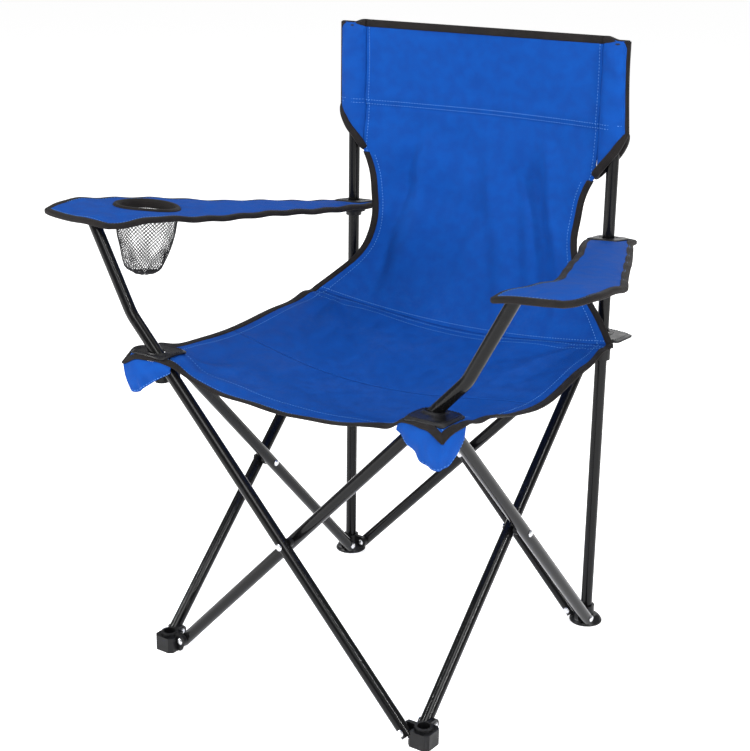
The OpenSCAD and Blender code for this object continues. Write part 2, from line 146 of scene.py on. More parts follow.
def mesh_object(name: str, verts: Array, faces: Array, uv: Array | None = None,
                tidy: bool = False) -> bpy.types.Object:
    """Make an object from arrays.

    Args:
        name: piece name.
        verts: shape (n, 3), metres in the row frame.
        faces: shape (m, k) vertex indices.
        uv: per-vertex coordinates in metres, shape (n, 2).
        tidy: merge doubles and turn the faces of a closed shell outwards.

    Returns:
        The object, at the origin.
    """
    mesh = bpy.data.meshes.new(name)
    faces = np.asarray(faces, np.int32)
    mesh.vertices.add(len(verts))
    mesh.vertices.foreach_set("co", np.asarray(verts, np.float32).ravel())
    mesh.loops.add(faces.size)
    mesh.loops.foreach_set("vertex_index", faces.ravel())
    mesh.polygons.add(len(faces))
    mesh.polygons.foreach_set("loop_start", np.arange(0, faces.size, faces.shape[1], dtype=np.int32))
    mesh.update(calc_edges=True)
    if uv is not None:
        layer = mesh.uv_layers.new(name="Cloth")
        layer.data.foreach_set("uv", np.asarray(uv, np.float32)[faces.ravel()].ravel())
    mesh.validate()
    if tidy:
        bm = bmesh.new()
        bm.from_mesh(mesh)
        bmesh.ops.remove_doubles(bm, verts=bm.verts, dist=1e-6)
        bmesh.ops.recalc_face_normals(bm, faces=bm.faces)
        bm.to_mesh(mesh)
        bm.free()
    mesh.polygons.foreach_set("use_smooth", np.ones(len(mesh.polygons), bool))
    obj = bpy.data.objects.new(name, mesh)
    bpy.context.scene.collection.objects.link(obj)
    return obj


def metric_uv(grid: Array) -> Array:
    """Cloth coordinates of a grid in metres: mean arc length along each direction."""
    along = np.linalg.norm(np.diff(grid, axis=0), axis=2)
    across = np.linalg.norm(np.diff(grid, axis=1), axis=2)
    a = np.vstack([np.zeros((1, grid.shape[1])), np.cumsum(along, 0)])
    b = np.hstack([np.zeros((grid.shape[0], 1)), np.cumsum(across, 1)])
    b -= b[:, -1:] / 2
    return np.stack([b, a], -1).reshape(-1, 2)


def grid_area(grid: Array) -> float:
    """Area of a grid surface in square metres: half the cross product of each cell's diagonals."""
    d1, d2 = grid[1:, 1:] - grid[:-1, :-1], grid[1:, :-1] - grid[:-1, 1:]
    return float(0.5 * np.linalg.norm(np.cross(d1, d2), axis=2).sum())


def grid_normals(grid: Array) -> Array:
    """Unit normals of a grid: cross product of its two parameter directions."""
    return unit(np.cross(np.gradient(grid, axis=1), np.gradient(grid, axis=0)))


def thicken(obj: bpy.types.Object, thickness: float) -> None:
    """Give an open sheet a wall centred on its surface."""
    mod = obj.modifiers.new("cloth thickness", "SOLIDIFY")
    mod.thickness = thickness
    mod.offset = 0.0


def rounded_slot(width: float, height: float, count: int) -> Array:
    """Outline of a soft flat strip: superellipse of exponent 4, shape (count, 2)."""
    a = np.linspace(0, 2 * math.pi, count, endpoint=False)
    c, s = np.cos(a), np.sin(a)
    k = (np.abs(c) ** 4 + np.abs(s) ** 4) ** -0.25
    return np.stack([c * k * width / 2, s * k * height / 2], 1)


def strip(name: str, line: Array, inward: Array, normal: Array, width: float, height: float,
          inset: float, closed: bool = False) -> bpy.types.Object:
    """Tape folded over an edge: a soft flat profile carried along the edge.

    Args:
        name: piece name.
        line: edge points, shape (n, 3).
        inward: unit vectors in the cloth, away from its edge.
        normal: unit vectors across the cloth.
        width: size along inward.
        height: size along normal.
        inset: distance from the edge to the middle of the profile.
        closed: the edge is a loop.

    Returns:
        A closed tube object.
    """
    ring = rounded_slot(width, height, 12)
    pts = (line[:, None] + inward[:, None] * (ring[None, :, :1] + inset)
           + normal[:, None] * ring[None, :, 1:])
    n, k = pts.shape[:2]
    run = np.concatenate([[0], np.cumsum(np.linalg.norm(np.diff(line, axis=0), axis=1))])
    uv = np.stack(np.broadcast_arrays(run[:, None], np.linspace(0, 2 * width, k)[None]), -1)
    verts, faces = pts.reshape(-1, 3), quads(n, k, wrap_rows=closed, wrap_cols=True)
    uv = uv.reshape(-1, 2)
    if not closed:
        caps = []
        for base, end in ((0, 0), ((n - 1) * k, n - 1)):
            centre = len(verts)
            verts = np.vstack([verts, pts[end].mean(0)])
            uv = np.vstack([uv, [run[end], 0]])
            j = np.arange(k)
            caps.append(np.stack([base + j, base + (j + 1) % k, np.full(k, centre), np.full(k, centre)], 1))
        tri = np.vstack(caps)[:, :3]
        return _mixed(name, verts, faces, tri, uv)
    return mesh_object(name, verts, faces, uv, tidy=True)


def _mixed(name: str, verts: Array, four: Array, three: Array, uv: Array) -> bpy.types.Object:
    """Closed mesh from quads and triangles, with outward faces."""
    mesh = bpy.data.meshes.new(name)
    mesh.from_pydata(verts.tolist(), [], four.tolist() + three.tolist())
    layer = mesh.uv_layers.new(name="Cloth")
    index = np.concatenate([four.ravel(), three.ravel()])
    layer.data.foreach_set("uv", uv[index].astype(np.float32).ravel())
    bm = bmesh.new()
    bm.from_mesh(mesh)
    bmesh.ops.recalc_face_normals(bm, faces=bm.faces)
    bm.to_mesh(mesh)
    bm.free()
    mesh.polygons.foreach_set("use_smooth", np.ones(len(mesh.polygons), bool))
    obj = bpy.data.objects.new(name, mesh)
    bpy.context.scene.collection.objects.link(obj)
    return obj


def stitches(name: str, lines: list[tuple[Array, Array]], pitch: float = 0.0042,
             length: float = 0.0030, thick: float = 0.0009) -> bpy.types.Object:
    """Sewing thread: one small lozenge per stitch along each line.

    Args:
        name: piece name.
        lines: pairs of points (n, 3) and surface normals (n, 3).
        pitch: distance from one stitch to the next.
        length: length of a stitch.
        thick: width of the thread.

    Returns:
        One object holding every stitch.
    """
    verts, faces, base = [], [], 0
    shape = np.array([[-0.5, 0, -0.2], [-0.25, 0.5, 0.2], [-0.25, -0.5, 0.2], [0.25, 0.5, 0.2],
                      [0.25, -0.5, 0.2], [0.5, 0, -0.2], [0, 0, 0.62]])
    tris = np.array([[0, 2, 1], [1, 2, 6], [3, 1, 6], [2, 4, 6], [4, 3, 6], [3, 4, 5],
                     [0, 1, 2], [1, 3, 4], [1, 4, 2], [3, 5, 4]])[:6]
    tris = np.vstack([tris, [[0, 1, 3], [0, 3, 5], [0, 5, 4], [0, 4, 2]]])
    for points, normals in lines:
        run = np.concatenate([[0], np.cumsum(np.linalg.norm(np.diff(points, axis=0), axis=1))])
        count = max(2, int(run[-1] / pitch))
        where = (np.arange(count) + 0.5) * run[-1] / count
        mid = np.stack([np.interp(where, run, points[:, k]) for k in range(3)], 1)
        nrm = unit(np.stack([np.interp(where, run, normals[:, k]) for k in range(3)], 1))
        ahead = np.stack([np.interp(where + 1e-4, run, points[:, k]) for k in range(3)], 1)
        tan = unit(ahead - mid)
        across = np.cross(nrm, tan)
        pts = (mid[:, None] + tan[:, None] * shape[None, :, :1] * length
               + across[:, None] * shape[None, :, 1:2] * thick
               + nrm[:, None] * shape[None, :, 2:] * thick)
        verts.append(pts.reshape(-1, 3))
        faces.append((tris[None] + base + 7 * np.arange(count)[:, None, None]).reshape(-1, 3))
        base += 7 * count
    return mesh_object(name, np.vstack(verts), np.vstack(faces), tidy=False)


def tubes(name: str, lines: Array, radius: float, sides: int = 5) -> bpy.types.Object:
    """Round strands along many lines at once.

    Args:
        name: piece name.
        lines: shape (strands, points, 3).
        radius: strand radius.
        sides: sides of each strand.

    Returns:
        One object of open-ended strands.
    """
    tan = unit(np.gradient(lines, axis=1))
    ref = np.broadcast_to(np.array([0.0, 0.0, 1.0]), tan.shape)
    one = unit(np.cross(tan, ref))
    two = np.cross(tan, one)
    a = np.linspace(0, 2 * math.pi, sides, endpoint=False)
    pts = (lines[:, :, None] + radius * (one[:, :, None] * np.cos(a)[:, None]
                                         + two[:, :, None] * np.sin(a)[:, None]))
    strands, n = lines.shape[:2]
    cell = quads(n, sides, wrap_cols=True)
    faces = (cell[None] + (np.arange(strands) * n * sides)[:, None, None]).reshape(-1, 4)
    return mesh_object(name, pts.reshape(-1, 3), faces[:, ::-1])


# ------------------------------------------------------------------ finishes


class Graph:
    """Small helper that adds and joins nodes in a tree."""

    def __init__(self, tree: bpy.types.NodeTree) -> None:
        """Keep the tree to build in."""
        self.tree = tree

    def add(self, kind: str, inputs: dict | None = None, **props) -> bpy.types.Node:
        """Add a node; a socket given as an input is linked and any other value is set."""
        node = self.tree.nodes.new(kind)
        for key, value in props.items():
            setattr(node, key, value)
        for key, value in (inputs or {}).items():
            socket = node.inputs[key]
            if isinstance(value, bpy.types.NodeSocket):
                self.tree.links.new(value, socket)
            else:
                socket.default_value = value
        return node

    def math(self, op: str, a, b=0.0, c=0.0) -> bpy.types.NodeSocket:
        """Output of a math node."""
        return self.add("ShaderNodeMath", {0: a, 1: b, 2: c}, operation=op).outputs[0]

    def blend(self, factor, a, b) -> bpy.types.NodeSocket:
        """Colour output of a mix node."""
        node = self.add("ShaderNodeMix", {"Factor": factor}, data_type="RGBA")
        for key, value in ((6, a), (7, b)):
            if isinstance(value, bpy.types.NodeSocket):
                self.tree.links.new(value, node.inputs[key])
            else:
                node.inputs[key].default_value = value
        return node.outputs[2]

    def ramp(self, value, low: float, high: float, out_low: float = 0.0,
             out_high: float = 1.0) -> bpy.types.NodeSocket:
        """Smooth step of a value between two limits."""
        return self.add("ShaderNodeMapRange", {"Value": value, "From Min": low, "From Max": high,
                                               "To Min": out_low, "To Max": out_high},
                        interpolation_type="SMOOTHSTEP").outputs[0]


def group(name: str, inputs: dict[str, tuple], outputs: dict[str, str]) -> tuple[Graph, dict, bpy.types.Node]:
    """Start a shader node group.

    Args:
        name: group name.
        inputs: socket name to (socket type, default).
        outputs: socket name to socket type.

    Returns:
        The graph, the group's input sockets by name, and its output node.
    """
    tree = bpy.data.node_groups.new(name, "ShaderNodeTree")
    for key, (kind, default) in inputs.items():
        socket = tree.interface.new_socket(key, in_out="INPUT", socket_type=kind)
        if default is not None:
            socket.default_value = default
    for key, kind in outputs.items():
        tree.interface.new_socket(key, in_out="OUTPUT", socket_type=kind)
    graph = Graph(tree)
    source = tree.nodes.new("NodeGroupInput")
    sink = tree.nodes.new("NodeGroupOutput")
    return graph, {k: source.outputs[k] for k in inputs}, sink


def weave_group() -> bpy.types.NodeTree:
    """Plain weave over cloth coordinates: warp and weft ribs that take turns, plus slub noise; Shade is
    painted shade, darker in the gaps between threads and lighter on their crests.
    """
    flt, vec = "NodeSocketFloat", "NodeSocketVector"
    g, i, out = group("cloth weave", {"Vector": (vec, None), "Pitch": (flt, 0.0011), "Slub": (flt, 0.5)},
                      {"Height": flt, "Shade": flt, "Mottle": flt})
    split = g.add("ShaderNodeSeparateXYZ", {0: i["Vector"]})
    x = g.math("DIVIDE", split.outputs[0], i["Pitch"])
    y = g.math("DIVIDE", split.outputs[1], i["Pitch"])
    cx = g.math("ABSOLUTE", g.math("SINE", g.math("MULTIPLY", x, math.pi)))
    cy = g.math("ABSOLUTE", g.math("SINE", g.math("MULTIPLY", y, math.pi)))
    parity = g.math("PINGPONG", g.math("ADD", g.math("FLOOR", x), g.math("FLOOR", y)), 1.0)
    over = g.blend(parity, g.add("ShaderNodeCombineXYZ", {0: cx, 1: cx, 2: cx}).outputs[0],
                   g.add("ShaderNodeCombineXYZ", {0: cy, 1: cy, 2: cy}).outputs[0])
    rib = g.add("ShaderNodeSeparateXYZ", {0: over}).outputs[0]
    slub = g.add("ShaderNodeTexNoise", {"Vector": i["Vector"], "Scale": 900.0, "Detail": 2.0}).outputs[0]
    wide = g.add("ShaderNodeTexNoise", {"Vector": i["Vector"], "Scale": 55.0, "Detail": 4.0}).outputs[0]
    height = g.math("ADD", rib, g.math("MULTIPLY", slub, i["Slub"]))
    g.tree.links.new(height, out.inputs["Height"])
    # Shade: painted shade from the rib height, dark where threads dip into the gaps, light on their crests.
    g.tree.links.new(g.ramp(rib, 0.1, 0.9), out.inputs["Shade"])
    g.tree.links.new(g.ramp(wide, 0.3, 0.7), out.inputs["Mottle"])
    return g.tree


def scuff_group() -> bpy.types.NodeTree:
    """Scuffs: thin marks where stretched noise crosses a narrow band, kept to a few broad areas."""
    flt, vec = "NodeSocketFloat", "NodeSocketVector"
    g, i, out = group("handling scuffs", {"Vector": (vec, None), "Amount": (flt, 0.5)}, {"Mask": flt})
    stretched = {0: i["Vector"], 1: (1.0, 1.0, 0.22)}
    long = g.add("ShaderNodeVectorMath", stretched, operation="MULTIPLY").outputs[0]
    fine = g.add("ShaderNodeTexNoise", {"Vector": long, "Scale": 190.0, "Detail": 5.0}).outputs[0]
    area = g.add("ShaderNodeTexNoise", {"Vector": i["Vector"], "Scale": 17.0, "Detail": 3.0}).outputs[0]
    mark = g.math("MULTIPLY", g.ramp(fine, 0.60, 0.72), g.ramp(area, 0.50, 0.66))
    g.tree.links.new(g.math("MULTIPLY", mark, i["Amount"]), out.inputs["Mask"])
    return g.tree


def dust_group() -> bpy.types.NodeTree:
    """Dust: upward faces, thinned by two sizes of noise."""
    flt, vec = "NodeSocketFloat", "NodeSocketVector"
    g, i, out = group("settled dust", {"Vector": (vec, None), "Amount": (flt, 0.5)}, {"Mask": flt})
    normal = g.add("ShaderNodeNewGeometry").outputs["Normal"]
    up = g.ramp(g.add("ShaderNodeSeparateXYZ", {0: normal}).outputs[2], 0.1, 1.0)
    fine = g.add("ShaderNodeTexNoise", {"Vector": i["Vector"], "Scale": 240.0, "Detail": 6.0}).outputs[0]
    broad = g.add("ShaderNodeTexNoise", {"Vector": i["Vector"], "Scale": 14.0, "Detail": 3.0}).outputs[0]
    mask = g.math("MULTIPLY", g.ramp(g.math("MULTIPLY", fine, broad), 0.2, 0.42), up)
    g.tree.links.new(g.math("MULTIPLY", mask, i["Amount"]), out.inputs["Mask"])
    return g.tree


def grain_group() -> bpy.types.NodeTree:
    """Moulded or coated skin grain: small cells under soft noise."""
    flt, vec = "NodeSocketFloat", "NodeSocketVector"
    g, i, out = group("skin grain", {"Vector": (vec, None), "Scale": (flt, 700.0), "Mix": (flt, 0.5)},
                      {"Height": flt, "Tone": flt})
    cells = g.add("ShaderNodeTexVoronoi", {"Vector": i["Vector"], "Scale": i["Scale"]}).outputs[0]
    soft = g.add("ShaderNodeTexNoise", {"Vector": i["Vector"], "Scale": 90.0, "Detail": 6.0}).outputs[0]
    height = g.math("ADD", g.math("MULTIPLY", cells, i["Mix"]), soft)
    g.tree.links.new(height, out.inputs["Height"])
    g.tree.links.new(g.ramp(soft, 0.3, 0.7), out.inputs["Tone"])
    return g.tree


class Effects:
    """The shared node groups, built once."""

    def __init__(self) -> None:
        """Build every group."""
        self.weave = weave_group()
        self.scuff = scuff_group()
        self.dust = dust_group()
        self.grain = grain_group()


def start_material(name: str) -> tuple[bpy.types.Material, Graph, bpy.types.Node]:
    """A node material with its shader.

    Args:
        name: material name.

    Returns:
        The material, its graph and its Principled node.
    """
    mat = bpy.data.materials.new(name)
    mat.use_nodes = True
    return mat, Graph(mat.node_tree), mat.node_tree.nodes["Principled BSDF"]


def place(g: Graph, tree: bpy.types.NodeTree, inputs: dict) -> bpy.types.Node:
    """Add a group node, then set or link its inputs."""
    node = g.tree.nodes.new("ShaderNodeGroup")
    node.node_tree = tree
    for key, value in inputs.items():
        if isinstance(value, bpy.types.NodeSocket):
            g.tree.links.new(value, node.inputs[key])
        else:
            node.inputs[key].default_value = value
    return node


@dataclass(frozen=True)
class ClothFinish:
    """Woven polyester or tape."""

    name: str
    colour: tuple[float, float, float]
    light: tuple[float, float, float]
    pitch: float = 0.0011
    bump: float = 0.00022
    sheen: float = 0.03
    roughness: float = 0.74

    def build(self, fx: Effects) -> bpy.types.Material:
        """Make the material."""
        mat, g, shader = start_material(self.name)
        uv = g.add("ShaderNodeUVMap", uv_map="Cloth").outputs[0]
        weave = place(g, fx.weave, {"Vector": uv, "Pitch": self.pitch, "Slub": 0.6})
        obj = g.add("ShaderNodeTexCoord").outputs["Object"]
        dust = place(g, fx.dust, {"Vector": obj, "Amount": 0.02})
        mottle = g.math("MULTIPLY", weave.outputs["Mottle"], 0.45)
        # Base colour runs from colour to light by painted shade between the threads (weave Shade) plus random
        # mottle.
        shade_and_mottle = g.math("MULTIPLY_ADD", weave.outputs["Shade"], 0.55, mottle)
        base = g.blend(shade_and_mottle, (*self.colour, 1), (*self.light, 1))
        dusty = g.blend(dust.outputs["Mask"], base, (0.32, 0.33, 0.35, 1))
        g.tree.links.new(dusty, shader.inputs["Base Color"])
        rough = g.ramp(weave.outputs["Mottle"], 0.0, 1.0, self.roughness - 0.05, self.roughness + 0.07)
        g.tree.links.new(rough, shader.inputs["Roughness"])
        bump = g.add("ShaderNodeBump", {"Height": weave.outputs["Height"], "Distance": self.bump,
                                        "Strength": 0.8})
        g.tree.links.new(bump.outputs[0], shader.inputs["Normal"])
        shader.inputs["Sheen Weight"].default_value = self.sheen
        shader.inputs["Sheen Roughness"].default_value = 0.45
        shader.inputs["Specular IOR Level"].default_value = 0.10
        return mat


@dataclass(frozen=True)
class EnamelFinish:
    """Gloss powder coat on steel tube."""

    name: str = "black powder coat"
    colour: tuple[float, float, float] = (0.0035, 0.0035, 0.0038)
    roughness: float = 0.16

    def build(self, fx: Effects) -> bpy.types.Material:
        """Make the material."""
        mat, g, shader = start_material(self.name)
        obj = g.add("ShaderNodeTexCoord").outputs["Object"]
        scuff = place(g, fx.scuff, {"Vector": obj, "Amount": 0.35})
        dust = place(g, fx.dust, {"Vector": obj, "Amount": 0.02})
        peel = g.add("ShaderNodeTexNoise", {"Vector": obj, "Scale": 420.0, "Detail": 2.0}).outputs[0]
        base = g.blend(scuff.outputs["Mask"], (*self.colour, 1), (0.03, 0.03, 0.031, 1))
        base = g.blend(dust.outputs["Mask"], base, (0.2, 0.2, 0.2, 1))
        g.tree.links.new(base, shader.inputs["Base Color"])
        rough = g.math("ADD", g.ramp(peel, 0.3, 0.7, self.roughness - 0.03, self.roughness + 0.06),
                       g.math("MULTIPLY", scuff.outputs["Mask"], 0.3))
        g.tree.links.new(rough, shader.inputs["Roughness"])
        bump = g.add("ShaderNodeBump", {"Height": peel, "Distance": 0.00004, "Strength": 0.6})
        g.tree.links.new(bump.outputs[0], shader.inputs["Normal"])
        shader.inputs["Specular IOR Level"].default_value = 0.16
        shader.inputs["Coat Weight"].default_value = 0.04
        shader.inputs["Coat Roughness"].default_value = 0.06
        return mat


@dataclass(frozen=True)
class SkinFinish:
    """Moulded plastic or coated cloth with a fine grain."""

    name: str
    colour: tuple[float, float, float]
    roughness: float = 0.5
    grain: float = 700.0
    bump: float = 0.00012
    scuff: float = 0.2

    def build(self, fx: Effects) -> bpy.types.Material:
        """Make the material."""
        mat, g, shader = start_material(self.name)
        obj = g.add("ShaderNodeTexCoord").outputs["Object"]
        grain = place(g, fx.grain, {"Vector": obj, "Scale": self.grain, "Mix": 0.6})
        scuff = place(g, fx.scuff, {"Vector": obj, "Amount": self.scuff})
        dust = place(g, fx.dust, {"Vector": obj, "Amount": 0.05})
        dark = tuple(0.75 * v for v in self.colour)
        light = tuple(min(1.0, 1.35 * v) for v in self.colour)
        base = g.blend(grain.outputs["Tone"], (*dark, 1), (*light, 1))
        base = g.blend(scuff.outputs["Mask"], base, (0.05, 0.05, 0.052, 1))
        base = g.blend(dust.outputs["Mask"], base, (0.18, 0.18, 0.18, 1))
        g.tree.links.new(base, shader.inputs["Base Color"])
        rough = g.ramp(grain.outputs["Tone"], 0.0, 1.0, self.roughness - 0.06, self.roughness + 0.08)
        g.tree.links.new(rough, shader.inputs["Roughness"])
        bump = g.add("ShaderNodeBump", {"Height": grain.outputs["Height"], "Distance": self.bump,
                                        "Strength": 0.7})
        g.tree.links.new(bump.outputs[0], shader.inputs["Normal"])
        shader.inputs["Specular IOR Level"].default_value = 0.22
        return mat


@dataclass(frozen=True)
class SteelFinish:
    """Bright plated rivet steel."""

    name: str = "plated rivet steel"
    colour: tuple[float, float, float] = (0.74, 0.75, 0.77)

    def build(self, fx: Effects) -> bpy.types.Material:
        """Make the material."""
        mat, g, shader = start_material(self.name)
        obj = g.add("ShaderNodeTexCoord").outputs["Object"]
        noise = g.add("ShaderNodeTexNoise", {"Vector": obj, "Scale": 900.0, "Detail": 4.0}).outputs[0]
        base = g.blend(noise, (0.5, 0.5, 0.52, 1), (*self.colour, 1))
        g.tree.links.new(base, shader.inputs["Base Color"])
        g.tree.links.new(g.ramp(noise, 0.3, 0.7, 0.16, 0.34), shader.inputs["Roughness"])
        bump = g.add("ShaderNodeBump", {"Height": noise, "Distance": 0.00003, "Strength": 0.5})
        g.tree.links.new(bump.outputs[0], shader.inputs["Normal"])
        shader.inputs["Metallic"].default_value = 1.0
        return mat


class Finishes:
    """Every finish of the chair, by record slot."""

    def __init__(self, fx: Effects) -> None:
        """Build the materials."""
        blue = ClothFinish("royal blue polyester", (0.0010, 0.038, 0.225), (0.0030, 0.066, 0.335), sheen=0.0)
        tape = ClothFinish("black binding tape", (0.0045, 0.0040, 0.0042), (0.017, 0.0145, 0.0140),
                           pitch=0.0014, bump=0.0003)
        thread = ClothFinish("blue sewing thread", (0.07, 0.22, 0.56), (0.13, 0.32, 0.68), pitch=0.0005)
        dark_thread = ClothFinish("dark sewing thread", (0.012, 0.012, 0.014), (0.03, 0.03, 0.034),
                                  pitch=0.0005)
        net = ClothFinish("black net cord", (0.012, 0.012, 0.013), (0.04, 0.04, 0.042), pitch=0.0005)
        self.blue = blue.build(fx)
        self.tape = tape.build(fx)
        self.thread = thread.build(fx)
        self.dark_thread = dark_thread.build(fx)
        self.net = net.build(fx)
        self.enamel = EnamelFinish().build(fx)
        self.hub = SkinFinish("moulded hub plastic", (0.004, 0.004, 0.0045), roughness=0.38).build(fx)
        self.trim = SkinFinish("moulded trim plastic", (0.004, 0.004, 0.0045), roughness=0.45).build(fx)
        self.vinyl = SkinFinish("coated patch vinyl", (0.0075, 0.0075, 0.0085), roughness=0.34,
                                grain=1400.0, bump=0.0002).build(fx)
        self.steel = SteelFinish().build(fx)
        self.by_slot = {"black_enamel": self.enamel, "hub_plastic": self.hub, "trim_plastic": self.trim,
                        "rivet_steel": self.steel, "blue_cloth": self.blue, "patch_vinyl": self.vinyl,
                        "binding_tape": self.tape, "net_mesh": self.net}

    def dress(self, obj: bpy.types.Object, finish: bpy.types.Material, slot: str) -> bpy.types.Object:
        """Put a finish on a new piece."""
        obj.data.materials.clear()
        obj.data.materials.append(finish)
        return obj

    def dress_nodes(self) -> None:
        """Give every CAD node the finish of its record slot."""
        for part in frame["record"]["subparts"]:
            for held in frame["nodes"][part["node"]].material_slots:
                held.material = self.by_slot[part["material_slot"]]


# ------------------------------------------------------------------ places on the frame


@dataclass(frozen=True)
class Skeleton:
    """Places and sizes of the steel frame that the cloth hangs on, taken from the CAD boxes."""

    corner: float
    tube: float
    seat: float
    top: float
    pin_inset: float = 0.021
    foot_pin: float = 0.016
    seat_pin: float = 0.405
    offset: float = 0.0113

    @classmethod
    def measured(cls) -> "Skeleton":
        """Read the uprights and sliders."""
        low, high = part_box("rear_left_upright")
        return cls(corner=(low.x + high.x) / 2, tube=(high.x - low.x) / 2,
                   seat=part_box("left_slider")[1].z + 0.001, top=high.z)

    @property
    def lean(self) -> float:
        """Angle of the crossing tubes from upright, in radians."""
        return math.atan2(2 * (self.corner - self.pin_inset), self.seat_pin - self.foot_pin)

    def post_line(self, side: Side, z: float) -> Array:
        """Centre of a front tube where it crosses height z below its bend."""
        x = self.corner - self.pin_inset + (z - self.seat_pin) * math.tan(self.lean)
        y = -self.corner + side.value * self.offset
        return np.array([side.value * x, y, z])


def smooth(t: Array, low: float, high: float) -> Array:
    """Smooth step from 0 at low to 1 at high."""
    s = np.clip((t - low) / (high - low), 0, 1)
    return s * s * (3 - 2 * s)


def bell(t: Array, centre: float, width: float) -> Array:
    """Gaussian hump of height one."""
    return np.exp(-(((t - centre) / width) ** 2))


class Fold:
    """How soft pieces follow the folding frame."""

    def __init__(self, bones: Skeleton) -> None:
        """Keep the skeleton, the joint name and a gap."""
        self.bones = bones
        self.joint = "fold"
        self.gap = 0.062

    def back(self, piece: bpy.types.Object) -> bpy.types.Object:
        """Back cloth: rides on the right rear leg."""
        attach(piece, "rear_right_leg")
        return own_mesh(piece)

    def seat(self, piece: bpy.types.Object, half: str) -> bpy.types.Object:
        """Seat cloth: each half rides on its own seat body."""
        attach(piece, f"seat_{half}")
        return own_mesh(piece)

    def corner(self, piece: bpy.types.Object, body: str, side: Side, keep: float = 0.45) -> bpy.types.Object:
        """Corner trim: rides on the given body."""
        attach(piece, body)
        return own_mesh(piece)

    def arm(self, piece: bpy.types.Object, side: Side) -> bpy.types.Object:
        """Armrest cloth: rides on its side's arm body."""
        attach(piece, f"{side.word}_arm")
        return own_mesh(piece)


# ------------------------------------------------------------------ seat and back


